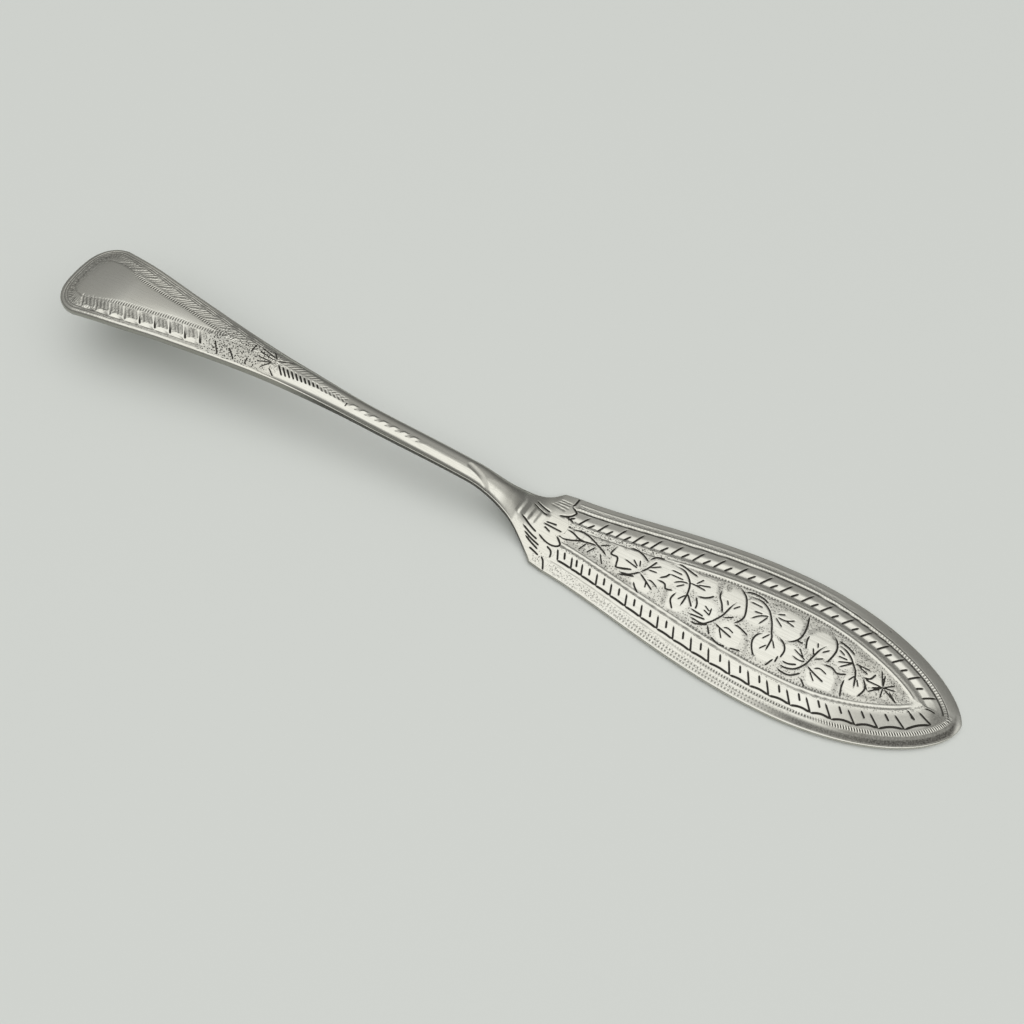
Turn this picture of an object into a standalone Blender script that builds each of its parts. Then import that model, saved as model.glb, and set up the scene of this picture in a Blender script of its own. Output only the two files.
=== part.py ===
"""Butter knife with a leaf-shaped blade, a cranked neck and a flat paddle-ended handle.

The knife is two silver forgings. The blade's root carries a thin tongue, the handle's
collar laps over it with a scalloped front edge, and a film of hard solder lies between.
Units are metres. +X runs from the handle's end to the blade's tip, +Z is up, and the
blade's flat underside is the plane z = 0. Both forgings are measured from the shoulder
line, where the collar and the blade meet.
"""

import bmesh
import bpy
import numpy as np

# Blade, from the shoulder line to the tip
BLADE_LENGTH = 0.0805
BELLY_FROM_SHOULDER = 0.0465
SHOULDER_WIDTH = 0.0181
BELLY_WIDTH = 0.0303
BLADE_EDGE_THICKNESS = 0.0010
BLADE_CROWN = 0.0014
FLARE_EXPONENT = 1.35
POINT_EXPONENT = 0.6

# Handle, along its length from the shoulder line
HANDLE_LENGTH = 0.1100
CORNER_FROM_SHOULDER = 0.0030
NECK_FOOT_FROM_SHOULDER = 0.0040
NECK_MIDDLE_FROM_SHOULDER = 0.0110
WAIST_FROM_SHOULDER = 0.0205
NECK_TOP_FROM_SHOULDER = 0.0200
STEM_MIDDLE_FROM_SHOULDER = 0.0420

# Handle, along its length from its own end
STEM_END_FROM_END = 0.0500
PADDLE_MIDDLE_FROM_END = 0.0255
CREST_FROM_END = 0.0135
PADDLE_WIDEST_FROM_END = 0.0060

# Handle widths
CORNER_WIDTH = 0.0170
WAIST_WIDTH = 0.0046
STEM_MIDDLE_WIDTH = 0.0047
STEM_END_WIDTH = 0.0062
PADDLE_MIDDLE_WIDTH = 0.0124
CREST_WIDTH = 0.0164
PADDLE_WIDTH = 0.0183
NECK_EXPONENT = 3.1
END_EXPONENT = 0.33

# Height of the handle's upper side edges above the blade's underside
NECK_MIDDLE_HEIGHT = 0.0045
NECK_TOP_HEIGHT = 0.0079
STEM_MIDDLE_HEIGHT = 0.0094
STEM_END_HEIGHT = 0.0115
CREST_HEIGHT = 0.0135
END_HEIGHT = 0.0125

# Depth of the handle's upright sides
NECK_MIDDLE_SIDE = 0.0011
NECK_TOP_SIDE = 0.0008
STEM_MIDDLE_SIDE = 0.0008
STEM_END_SIDE = 0.0014
PADDLE_SIDE = 0.0016

# Rise of the handle's crowned top above its side edges
NECK_CROWN = 0.0012
STEM_CROWN = 0.0018
PADDLE_CROWN = 0.0004

# How the crowned top falls off to the sides: a parabola on flat stretches, a rounded box on the stem
FLAT_FALL = 1.0
ROUND_FALL = 0.5
FLAT_POWER = 2.0
ROUND_POWER = 3.0

# Chamfer along the lower edge of both forgings
UNDER_BEVEL = 0.0005

# Lap joint between collar and blade
LOBE_COUNT = 5
LOBE_REACH = 0.0008
JOINT_GAP = 0.0003
TONGUE_LENGTH = 0.0045
TONGUE_WIDTH = 0.0080
TONGUE_THICKNESS = 0.0006
TONGUE_SETBACK = 0.0001
TONGUE_ROOT = 0.0010
SOLDER_THICKNESS = 0.0002
SOLDER_CLEARANCE = 0.0001

# Mesh fineness
COLUMNS_PER_LOBE = 4
BLADE_FLARE_ROWS = 18
BLADE_POINT_ROWS = 16
COLLAR_ROWS = 3
NECK_ROWS = 14
STEM_ROWS = 7
PADDLE_ROWS = 12
END_ROWS = 8
SMOOTH_ANGLE = np.radians(35.0)
MERGE_DISTANCE = 0.000001

# Silver as photographed: colour, roughness
BLADE_SILVER = ((0.78, 0.76, 0.72), 0.24)
HANDLE_SILVER = ((0.74, 0.73, 0.70), 0.22)
SOLDER_SILVER = ((0.66, 0.63, 0.57), 0.45)

# Values worked out from the sizes above
SHOULDER_X = (HANDLE_LENGTH - BLADE_LENGTH) / 2.0
COLUMN_COUNT = LOBE_COUNT * COLUMNS_PER_LOBE + 1
STEM_END = HANDLE_LENGTH - STEM_END_FROM_END
PADDLE_MIDDLE = HANDLE_LENGTH - PADDLE_MIDDLE_FROM_END
CREST = HANDLE_LENGTH - CREST_FROM_END
PADDLE_WIDEST = HANDLE_LENGTH - PADDLE_WIDEST_FROM_END
TONGUE_TOP = TONGUE_SETBACK + TONGUE_THICKNESS
POCKET_CEILING = TONGUE_TOP + SOLDER_THICKNESS + 2.0 * SOLDER_CLEARANCE


def smooth_curve(stations, at):
    """Monotone cubic through (place, value) stations, so it never overshoots between them."""
    place, value = np.array(stations).T
    step = np.diff(place)
    secant = np.diff(value) / step
    product = secant[:-1] * secant[1:]
    total = secant[:-1] + secant[1:]
    inner = np.divide(2.0 * product, total, out=np.zeros_like(total), where=product > 0.0)
    slope = np.concatenate([secant[:1], inner, secant[-1:]])
    span = np.clip(np.searchsorted(place, at, side="right") - 1, 0, len(step) - 1)
    share = (at - place[span]) / step[span]
    rising = share * share * (3.0 - 2.0 * share)
    leaving = share * (1.0 - share) ** 2
    arriving = share * share * (share - 1.0)
    bend = step[span] * (slope[span] * leaving + slope[span + 1] * arriving)
    return value[span] * (1.0 - rising) + value[span + 1] * rising + bend


def blade_half_width(along):
    """Flare from the shoulder to the belly, then a rounded leaf point."""
    flare = np.clip(along / BELLY_FROM_SHOULDER, 0.0, 1.0)
    point = np.clip((along - BELLY_FROM_SHOULDER) / (BLADE_LENGTH - BELLY_FROM_SHOULDER), 0.0, 1.0)
    flared = SHOULDER_WIDTH + (BELLY_WIDTH - SHOULDER_WIDTH) * np.sin(np.pi / 2.0 * flare) ** FLARE_EXPONENT
    return flared * (1.0 - point * point) ** POINT_EXPONENT / 2.0


def handle_half_width(behind):
    """Collar with rounded-off corners, flared neck, slim stem and blunt-ended paddle."""
    collar_share = behind / CORNER_FROM_SHOULDER
    collar = SHOULDER_WIDTH + (CORNER_WIDTH - SHOULDER_WIDTH) * collar_share
    neck_share = (WAIST_FROM_SHOULDER - behind) / (WAIST_FROM_SHOULDER - CORNER_FROM_SHOULDER)
    neck = WAIST_WIDTH + (CORNER_WIDTH - WAIST_WIDTH) * np.clip(neck_share, 0.0, 1.0) ** NECK_EXPONENT
    paddle = smooth_curve(
        [
            (WAIST_FROM_SHOULDER, WAIST_WIDTH),
            (STEM_MIDDLE_FROM_SHOULDER, STEM_MIDDLE_WIDTH),
            (STEM_END, STEM_END_WIDTH),
            (PADDLE_MIDDLE, PADDLE_MIDDLE_WIDTH),
            (CREST, CREST_WIDTH),
            (PADDLE_WIDEST, PADDLE_WIDTH),
        ],
        np.clip(behind, WAIST_FROM_SHOULDER, PADDLE_WIDEST),
    )
    end_share = np.clip((behind - PADDLE_WIDEST) / PADDLE_WIDEST_FROM_END, 0.0, 1.0)
    rounded = paddle * (1.0 - end_share * end_share) ** END_EXPONENT
    behind_neck = np.where(behind < WAIST_FROM_SHOULDER, neck, rounded)
    return np.where(behind < CORNER_FROM_SHOULDER, collar, behind_neck) / 2.0


def handle_edge_height(behind):
    """Height of the upper side edges: flat collar, cranked neck, gently rising stem, drooping end."""
    return smooth_curve(
        [
            (0.0, BLADE_EDGE_THICKNESS),
            (NECK_FOOT_FROM_SHOULDER, BLADE_EDGE_THICKNESS),
            (NECK_MIDDLE_FROM_SHOULDER, NECK_MIDDLE_HEIGHT),
            (NECK_TOP_FROM_SHOULDER, NECK_TOP_HEIGHT),
            (STEM_MIDDLE_FROM_SHOULDER, STEM_MIDDLE_HEIGHT),
            (STEM_END, STEM_END_HEIGHT),
            (CREST, CREST_HEIGHT),
            (HANDLE_LENGTH, END_HEIGHT),
        ],
        behind,
    )


def handle_side(behind):
    """Depth of the upright sides: the blade's own at the collar, least along the round stem."""
    return smooth_curve(
        [
            (0.0, BLADE_EDGE_THICKNESS),
            (NECK_FOOT_FROM_SHOULDER, BLADE_EDGE_THICKNESS),
            (NECK_MIDDLE_FROM_SHOULDER, NECK_MIDDLE_SIDE),
            (NECK_TOP_FROM_SHOULDER, NECK_TOP_SIDE),
            (STEM_MIDDLE_FROM_SHOULDER, STEM_MIDDLE_SIDE),
            (STEM_END, STEM_END_SIDE),
            (PADDLE_WIDEST, PADDLE_SIDE),
            (HANDLE_LENGTH, PADDLE_SIDE),
        ],
        behind,
    )


def handle_crown(behind, half_width):
    """Rise of the top above the side edges: the blade's own at the shoulder, none at the very end."""
    crown = smooth_curve(
        [
            (0.0, blade_crown(SHOULDER_WIDTH / 2.0)),
            (NECK_MIDDLE_FROM_SHOULDER, NECK_CROWN),
            (STEM_MIDDLE_FROM_SHOULDER, STEM_CROWN),
            (PADDLE_WIDEST, PADDLE_CROWN),
            (HANDLE_LENGTH, PADDLE_CROWN),
        ],
        behind,
    )
    return crown * np.where(behind > PADDLE_WIDEST, half_width / (PADDLE_WIDTH / 2.0), 1.0)


def handle_roundness(behind, flat, rounded):
    """A value that is flat on collar and paddle and rounded on the stem between them."""
    return smooth_curve(
        [
            (0.0, flat),
            (NECK_FOOT_FROM_SHOULDER, flat),
            (NECK_TOP_FROM_SHOULDER, rounded),
            (STEM_MIDDLE_FROM_SHOULDER, rounded),
            (PADDLE_MIDDLE, flat),
            (HANDLE_LENGTH, flat),
        ],
        behind,
    )


def blade_crown(half_width):
    """Rise of the crowned top above the rim, in proportion to the width there."""
    return BLADE_CROWN * half_width / (BELLY_WIDTH / 2.0)


def lobed_edge(across):
    """Scalloped front edge of the collar: rounded lobes with a notch at each side."""
    return LOBE_REACH * np.abs(np.cos(LOBE_COUNT * np.pi / 2.0 * across))


def root_edge(across):
    """Scalloped root edge of the blade: the collar's front edge, one joint gap further on."""
    return lobed_edge(across) + JOINT_GAP


def silver(name, finish):
    """Plain metal material from a colour and a roughness."""
    colour, roughness = finish
    material = bpy.data.materials.new(name)
    material.use_nodes = True
    shader = material.node_tree.nodes["Principled BSDF"]
    shader.inputs["Base Color"].default_value = (*colour, 1.0)
    shader.inputs["Roughness"].default_value = roughness
    shader.inputs["Metallic"].default_value = 1.0
    return material


def add_object(name, mesh, material, shoulder):
    """Put a mesh in the scene under the shoulder empty."""
    mesh.materials.append(material)
    mesh.shade_smooth()
    mesh.set_sharp_from_angle(angle=SMOOTH_ANGLE)
    piece = bpy.data.objects.new(name, mesh)
    bpy.context.scene.collection.objects.link(piece)
    piece.parent = shoulder
    return piece


def lofted_mesh(name, along, half_width, underside, side, crown, power, fall, first_reach):
    """Closed loft of crowned, flat-bottomed sections; its first section follows a scalloped line."""
    across = np.linspace(-1.0, 1.0, COLUMN_COUNT)
    bevel = np.minimum(UNDER_BEVEL, half_width)
    x = np.repeat(along[:, None], COLUMN_COUNT, axis=1)
    x[0] += first_reach(across)
    top_y = half_width[:, None] * across
    bulge = (1.0 - np.abs(across) ** power[:, None]) ** fall[:, None]
    top_z = (underside + side)[:, None] + crown[:, None] * bulge
    low_y = (half_width - bevel)[:, None] * across
    low_z = np.repeat(underside[:, None], COLUMN_COUNT, axis=1)
    wall_z = (underside + bevel)[:, None]
    top = np.stack([x, top_y, top_z], axis=2)
    low = np.stack([x, low_y, low_z], axis=2)[:, ::-1]
    near_wall = np.stack([x[:, :1], top_y[:, :1], wall_z], axis=2)
    far_wall = np.stack([x[:, -1:], top_y[:, -1:], wall_z], axis=2)
    ring = np.concatenate([top, far_wall, low, near_wall], axis=1)
    points = ring.shape[1]

    form = bmesh.new()
    vertices = [[form.verts.new(point) for point in row] for row in ring]
    for lower, upper in zip(vertices[:-1], vertices[1:]):
        for i in range(points):
            j = (i + 1) % points
            form.faces.new((lower[i], lower[j], upper[j], upper[i]))
    for row in (vertices[0], vertices[-1]):
        add_end_face(form, row)
    bmesh.ops.remove_doubles(form, verts=form.verts, dist=MERGE_DISTANCE)
    bmesh.ops.dissolve_degenerate(form, edges=form.edges, dist=MERGE_DISTANCE)
    bmesh.ops.recalc_face_normals(form, faces=form.faces)
    mesh = bpy.data.meshes.new(name)
    form.to_mesh(mesh)
    form.free()
    return mesh


def add_end_face(form, row):
    """Close one section with upright strips between its top and its underside."""
    top = row[:COLUMN_COUNT]
    low = row[COLUMN_COUNT + 1:2 * COLUMN_COUNT + 1][::-1]
    far_wall = row[COLUMN_COUNT]
    near_wall = row[-1]
    for i in range(COLUMN_COUNT - 1):
        form.faces.new((top[i], top[i + 1], low[i + 1], low[i]))
    form.faces.new((top[0], low[0], near_wall))
    form.faces.new((top[-1], far_wall, low[-1]))


def box_mesh(name, low, high):
    """Rectangular block between two corners."""
    low = np.array(low)
    high = np.array(high)
    form = bmesh.new()
    bmesh.ops.create_cube(form, size=1.0)
    bmesh.ops.scale(form, vec=high - low, verts=form.verts)
    bmesh.ops.translate(form, vec=(low + high) / 2.0, verts=form.verts)
    mesh = bpy.data.meshes.new(name)
    form.to_mesh(mesh)
    form.free()
    return mesh


def shape_with(piece, tool, operation):
    """Join a hidden form to a piece, or cut it away."""
    tool.hide_render = True
    tool.display_type = "WIRE"
    modifier = piece.modifiers.new(tool.name, "BOOLEAN")
    modifier.operation = operation
    modifier.solver = "EXACT"
    modifier.object = tool


def make_blade(shoulder):
    """Leaf blade with a scalloped root edge and the tongue that goes under the collar."""
    flare = np.linspace(0.0, BELLY_FROM_SHOULDER, BLADE_FLARE_ROWS, endpoint=False)
    turn = np.linspace(0.0, np.pi / 2.0, BLADE_POINT_ROWS)
    point = BELLY_FROM_SHOULDER + (BLADE_LENGTH - BELLY_FROM_SHOULDER) * np.sin(turn)
    along = np.concatenate([flare, point])
    half_width = blade_half_width(along)
    underside = np.zeros_like(along)
    side = np.full_like(along, BLADE_EDGE_THICKNESS)
    crown = blade_crown(half_width)
    material = silver("blade_silver", BLADE_SILVER)
    power = np.full_like(along, FLAT_POWER)
    fall = np.full_like(along, FLAT_FALL)
    mesh = lofted_mesh("blade", along, half_width, underside, side, crown, power, fall, root_edge)
    blade = add_object("blade", mesh, material, shoulder)
    low = (-TONGUE_LENGTH, -TONGUE_WIDTH / 2.0, TONGUE_SETBACK)
    high = (LOBE_REACH + JOINT_GAP + TONGUE_ROOT, TONGUE_WIDTH / 2.0, TONGUE_TOP)
    tongue = add_object("tongue_form", box_mesh("tongue_form", low, high), material, shoulder)
    shape_with(blade, tongue, "UNION")


def make_handle(shoulder):
    """Collar, cranked neck, stem and paddle in one forging, with a pocket under the collar."""
    collar = np.linspace(0.0, CORNER_FROM_SHOULDER, COLLAR_ROWS, endpoint=False)
    neck = np.linspace(CORNER_FROM_SHOULDER, WAIST_FROM_SHOULDER, NECK_ROWS, endpoint=False)
    stem = np.linspace(WAIST_FROM_SHOULDER, STEM_END, STEM_ROWS, endpoint=False)
    paddle = np.linspace(STEM_END, PADDLE_WIDEST, PADDLE_ROWS, endpoint=False)
    end = PADDLE_WIDEST + PADDLE_WIDEST_FROM_END * np.sin(np.linspace(0.0, np.pi / 2.0, END_ROWS))
    behind = np.concatenate([collar, neck, stem, paddle, end])
    half_width = handle_half_width(behind)
    side = handle_side(behind)
    underside = handle_edge_height(behind) - side
    crown = handle_crown(behind, half_width)
    material = silver("handle_silver", HANDLE_SILVER)
    power = handle_roundness(behind, FLAT_POWER, ROUND_POWER)
    fall = handle_roundness(behind, FLAT_FALL, ROUND_FALL)
    mesh = lofted_mesh("handle", -behind, half_width, underside, side, crown, power, fall, lobed_edge)
    handle = add_object("handle", mesh, material, shoulder)
    reach = TONGUE_WIDTH / 2.0 + JOINT_GAP
    low = (-TONGUE_LENGTH - JOINT_GAP, -reach, -TONGUE_ROOT)
    high = (LOBE_REACH + TONGUE_ROOT, reach, POCKET_CEILING)
    pocket = add_object("pocket_form", box_mesh("pocket_form", low, high), material, shoulder)
    shape_with(handle, pocket, "DIFFERENCE")


def make_solder(shoulder):
    """Thin film of solder between the tongue and the pocket's ceiling."""
    low = (-TONGUE_LENGTH, -TONGUE_WIDTH / 2.0, TONGUE_TOP + SOLDER_CLEARANCE)
    high = (0.0, TONGUE_WIDTH / 2.0, TONGUE_TOP + SOLDER_CLEARANCE + SOLDER_THICKNESS)
    material = silver("hard_solder", SOLDER_SILVER)
    add_object("solder_layer", box_mesh("solder_layer", low, high), material, shoulder)


def main():
    """Clear the scene and build the knife, centred on its own length."""
    for old in list(bpy.data.objects):
        bpy.data.objects.remove(old, do_unlink=True)
    shoulder = bpy.data.objects.new("shoulder_line", None)
    bpy.context.scene.collection.objects.link(shoulder)
    shoulder.location = (SHOULDER_X, 0.0, 0.0)
    make_blade(shoulder)
    make_handle(shoulder)
    make_solder(shoulder)


main()
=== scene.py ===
"""Looks of the engraved silver butter knife: fine surfaces for both forgings, their finish, floor and light.

Engraving is worked out in millimetres from the shoulder line: x runs to the blade's tip, and y is
positive on the far side. The meshes are in metres, in the frame's own axes.
"""

import bpy
import numpy as np
from mathutils import Matrix, Vector


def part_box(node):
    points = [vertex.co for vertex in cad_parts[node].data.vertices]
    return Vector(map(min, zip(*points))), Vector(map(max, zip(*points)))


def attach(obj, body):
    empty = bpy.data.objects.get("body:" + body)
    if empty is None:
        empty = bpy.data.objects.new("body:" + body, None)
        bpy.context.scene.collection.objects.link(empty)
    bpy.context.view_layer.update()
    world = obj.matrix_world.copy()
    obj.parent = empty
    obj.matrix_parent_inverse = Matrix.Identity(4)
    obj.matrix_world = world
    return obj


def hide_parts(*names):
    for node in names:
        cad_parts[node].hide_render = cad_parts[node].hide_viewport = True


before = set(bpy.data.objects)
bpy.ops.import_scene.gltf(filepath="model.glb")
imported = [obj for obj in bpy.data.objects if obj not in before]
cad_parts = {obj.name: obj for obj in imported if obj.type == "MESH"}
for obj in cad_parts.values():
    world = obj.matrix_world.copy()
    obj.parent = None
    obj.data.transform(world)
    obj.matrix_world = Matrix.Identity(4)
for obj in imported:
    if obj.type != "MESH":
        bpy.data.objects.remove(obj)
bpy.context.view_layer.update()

# The frame's own places
MM = 0.001
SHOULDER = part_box("solder_layer")[1].x
TIP = (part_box("blade")[1].x - SHOULDER) / MM
BELLY_WIDTH = (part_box("blade")[1].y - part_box("blade")[0].y) / MM
HANDLE_LENGTH = (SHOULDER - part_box("handle")[0].x) / MM

# Blade outline and section, as the solids have them
BELLY = 46.5
SHOULDER_WIDTH = 18.1
EDGE_THICKNESS = 1.0
BLADE_CROWN = 1.4
FLARE_EXPONENT = 1.35
POINT_EXPONENT = 0.6
UNDER_BEVEL = 0.5

# Handle: (mm behind the shoulder, value) stations, as the solids have them
CORNER = 3.0
CORNER_WIDTH = 17.0
WAIST = 20.5
WAIST_WIDTH = 4.6
NECK_EXPONENT = 3.1
END_EXPONENT = 0.33
END_LENGTH = 6.0
NECK_FOOT = 4.0
NECK_MIDDLE = 11.0
NECK_TOP = 20.0
STEM_MIDDLE = 42.0
STEM_END = HANDLE_LENGTH - 50.0
PADDLE_MIDDLE = HANDLE_LENGTH - 25.5
CREST = HANDLE_LENGTH - 13.5
PADDLE_WIDEST = HANDLE_LENGTH - END_LENGTH
PADDLE_WIDTH = 18.3
WIDTHS = ((WAIST, WAIST_WIDTH), (STEM_MIDDLE, 4.7), (STEM_END, 6.2), (PADDLE_MIDDLE, 12.4), (CREST, 16.4),
          (PADDLE_WIDEST, PADDLE_WIDTH))
EDGE_HEIGHTS = ((0.0, EDGE_THICKNESS), (NECK_FOOT, EDGE_THICKNESS), (NECK_MIDDLE, 4.5), (NECK_TOP, 7.9),
                (STEM_MIDDLE, 9.4), (STEM_END, 11.5), (CREST, 13.5), (HANDLE_LENGTH, 12.5))
SIDES = ((0.0, EDGE_THICKNESS), (NECK_FOOT, EDGE_THICKNESS), (NECK_MIDDLE, 1.1), (NECK_TOP, 0.8),
         (STEM_MIDDLE, 0.8), (STEM_END, 1.4), (PADDLE_WIDEST, 1.6), (HANDLE_LENGTH, 1.6))
CROWNS = ((0.0, BLADE_CROWN * SHOULDER_WIDTH / BELLY_WIDTH), (NECK_MIDDLE, 1.2), (STEM_MIDDLE, 1.8),
          (PADDLE_WIDEST, 0.4), (HANDLE_LENGTH, 0.4))
POWERS = ((0.0, 2.0), (NECK_FOOT, 2.0), (NECK_TOP, 3.6), (STEM_MIDDLE, 3.6), (PADDLE_MIDDLE, 2.0),
          (HANDLE_LENGTH, 2.0))
FALLS = ((0.0, 1.0), (NECK_FOOT, 1.0), (NECK_TOP, 0.5), (STEM_MIDDLE, 0.5), (PADDLE_MIDDLE, 1.0),
         (HANDLE_LENGTH, 1.0))

# Collar's scalloped front edge: notches as shares of the half width, how far back they lie, lobes' reach
NOTCHES = (-1.0, -0.73, -0.44, -0.15, 0.38, 0.71, 1.0)
NOTCH_BACK = 0.5
LOBE_REACH = 1.25
LOBE_ROUND = 0.7
LOBE_FADE = 4.0
SCALLOP_FADE = 8
SEAM = 0.03

# Lap joint under the collar
TONGUE_LENGTH = 4.5
TONGUE_HALF_WIDTH = 4.0
TONGUE_LOW = 0.1
TONGUE_TOP = 0.7
TONGUE_FLAT = 0.8
POCKET_LENGTH = 4.8
POCKET_HALF_WIDTH = 4.3
POCKET_CEILING = 1.1

# Mesh fineness: mm between rows, columns across the upper face, points round an edge and across the underside
BLADE_STEP = 0.15
BLADE_COLUMNS = 151
HANDLE_STEP = 0.13
HANDLE_COLUMNS = 91
CROWDING = 0.6
EDGE_POINTS = 7
SIDE_POINTS = EDGE_POINTS + 2
UNDER_SHARES = (0.62, 0.58, 0.0, -0.58, -0.62)
POCKET_SHARES = (1.0, 0.999, 0.0, -0.999, -1.0)
POCKET_WALL = 0.01
END_ZONE = 3.0
END_STEPS = 28
LAST_TURN = 0.985
OUTLINE_POINTS = 220
TAIL_POINTS = 40
OVERRUN = 6.0
BLADE_ROUND = 0.35
HANDLE_ROUNDS = ((0.0, 0.35), (NECK_FOOT, 0.35), (NECK_TOP, 0.1), (STEM_MIDDLE, 0.1), (PADDLE_MIDDLE, 0.6),
                 (HANDLE_LENGTH, 0.6))
WIDEST_ROUND = 0.6
FOOT_ROUND = 0.3

# What the engraver's tools, tarnish and painted shade leave on each point of a mesh for its material to show
MARKS = ("tarnish_and_shade", "stipple", "milling", "run", "ink")
INKED = 0.8
NO_INK = -1.0
STROKE_SEED = 5
STIPPLE_SEED = 11

# How a stroke runs in and out, how far stain spreads from a cut, and how punch and mill place their marks
RUN_IN = 0.1
RUN_OUT = 1.05
FINEST = 0.5
STROKE_STAIN = 2.2
GROOVE_STAIN = 2.0
STROKE_POINTS = 5
SPAN_STEPS = 6
PUNCH_SHIFT = (0.25, 0.75)
TICK_LEVEL = 0.2
TICK_SWING = 0.8

# Strokes of the graver: width, depth, darkness, and the shares over which they swell and end
BOLD = dict(width=0.38, depth=0.15)
FINE = dict(width=0.32, depth=0.12)
LONG = dict(width=0.42, start=0.35)
SHORT = dict(width=0.44, depth=0.12)
NEAR_LONG = dict(width=0.42)
NEAR_SHORT = dict(width=0.45)
SCOOP = dict(width=0.5, depth=0.14, start=0.2, end=0.2)
SCAR = dict(width=0.3, depth=0.06, dark=0.7)
LOBE = dict(width=0.42, depth=0.15, start=0.15)
FLUTE = dict(width=0.42, depth=0.15, dark=1.0, start=0.2)
FAR_FLUTE = dict(width=0.38, depth=0.1, dark=0.6, start=0.2)
HATCH = dict(width=0.42, depth=0.12, start=0.4)
MAIN = dict(depth=0.16, start=0.9)
FAR_GROUP = dict(width=0.3, depth=0.13, dark=0.55, bow=0.15)
END_TICK = dict(width=0.34, depth=0.08)
TURN = dict(width=0.34, depth=0.13, start=0.2)
RAY = dict(width=0.28, depth=0.12, dark=0.85, start=0.2)
NOTCH = dict(width=0.3, depth=0.06, dark=0.6)

# Punches: pitch, radius and depth of the marks, and how dark they leave the metal
GRAIN_PUNCH = (0.36, 0.19, 0.05, 0.6)
ROUGH_PUNCH = (0.4, 0.19, 0.05, 0.65)
STRIP_PUNCH = (0.36, 0.2, 0.045, 0.8)
PANEL_PUNCH = (0.36, 0.19, 0.05, 0.9)
COLLAR_PUNCH = (0.36, 0.18, 0.05, 0.9)
HATCH_PUNCH = (0.36, 0.18, 0.05, 0.75)
SPECKLE_PUNCH = (0.36, 0.18, 0.05, 1.2)
FAR_PUNCH = (0.5, 0.24, 0.04, 0.3)
END_PUNCH = (0.42, 0.22, 0.05, 0.5)
TURN_PUNCH = (0.42, 0.2, 0.06, 1.0)

# Mills: pitch, depth and darkness of the ticks
ROPE_MILL = (0.62, 0.05, 0.25)
ROULETTE_MILL = (0.55, 0.08, 0.95)
ROW_MILL = (0.66, 0.05, 0.75)
TIP_MILL = (0.52, 0.15, 0.95)
DOT_MILL = (0.66, 0.09, 0.85)
FRAME_MILL = (0.52, 0.09)

# Grooves: depth and darkness
LINE_GROOVE = (0.13, 0.95)
ROPE_GROOVE = (0.1, 0.85)
ROULETTE_GROOVE = (0.05, 0.4)
NEAR_FOOT_GROOVE = (0.08, 0.7)
FAR_FOOT_GROOVE = (0.07, 0.7)
END_GROOVE = (0.06, 0.5)
FRAME_GROOVE = (0.05, 0.5)

# Blade's rims: bands are (middle, half width) in from the edge, zones are (from, to) along x or by inset
SIDE_BLEND = 0.3
ROOT = (0.3, 1.2)
TIPWARD = (46.0, 62.0)
FAR_LINE = (3.2, 3.65)
LINE_HALF = 0.2
FAR_ROPE = (2.8, 3.25)
ROPE_HALF = (0.28, 0.45)
ROPE_EDGE = (-0.15, 0.1)
ROPE_RISE = 0.2
ROPE_TIP = (58.0, 68.0)
ROPE_GAIN = 1.5
ROPE_FOOT = (-0.5, 0.18)
FAR_GRAIN = (1.95, 0.6)
GRAIN_LIP = (1.4, 0.2)
LIP_RISE = 0.04
MILLED = (54.0, 60.0)
ROULETTE_FROM = (18.0, 40.0)
ROULETTE_LINE = (2.5, 0.14)
ROULETTE_BAND = (2.5, 0.36)
NEAR_ROWS = (0.75, 1.45)
ROW_HALF = 0.3
ROWS_GROW = (8.0, 24.0)
ROW_STRENGTH = (0.3, 1.0)
TIP_ROW = (2.5, 0.46)
TIP_ROW_BLUNT = 0.4
TIP_ROW_RISE = 0.07
TIP_ROW_LEAN = 0.3
NEAR_ROUGH = (1.3, 1.2)
ROUGH_STRENGTH = (1.0, 0.7)
SCAR_PLACE = (63.5, 11.9, 64.1, 11.6)

# Near rim's stain and far rim's painted shade. Near: zones of inset where it begins and ends, zone along x,
# and strength
WORN = (((0.15, 0.6), (1.2, 2.2), (38.0, 54.0), 0.8), ((0.15, 0.6), (2.0, 3.0), (58.0, 70.0), 0.08))
CUT_BAND_INSET = (2.4, 3.6)
CUT_BAND_END = (73.5, 75.5)
TIP_DULL = (0.72, 0.4)
TIP_DULL_FROM = (52.0, 64.0)
TIP_DULL_INSET = (5.5, 7.0)
POINT_PALE = 0.85
POINT_ZONE = (78.9, 80.1)
POINT_SIDE = (-1.0, 4.0)
PAINTED_FAR_SHADE = (0.25, 0.45)
FAR_SHADE_GROWS = (50.0, 70.0)
FAR_SHADE_EDGE = (-0.6, -0.3)

# Blade's borders: insets of their lines, with values at root and tip where they change, and zones as above
NEAR_LINE = 3.3
BAND_TOP = 4.8
BAND_INNER = (5.6, 6.1)
INNER_GROWS = (0.0, 22.0)
NEAR_INNER = (5.5, 6.1)
NEAR_GROWS = (0.0, 70.0)
FACET_DEPTH = 0.16
FACET_EDGE = (4.8, 5.1)
PANEL_DEPTH = 0.07
PANEL_STEP = (-0.9, -0.3)
OUTER = ((3.4, 3.7), (4.8, 5.3))
LOWER_FROM = (20.0, 28.0)
LOWER_EDGE = (0.0, 0.25)
LOWER_END = (-0.5, -0.3)
ROOTWARD = (18.0, 30.0)
BAND_STAIN = 0.38
ROOT_STAIN = 0.2
GREY_BAND = (3.15, 0.3)
GREY_FROM = (56.0, 66.0)
GREY_STAIN = 0.5

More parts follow.
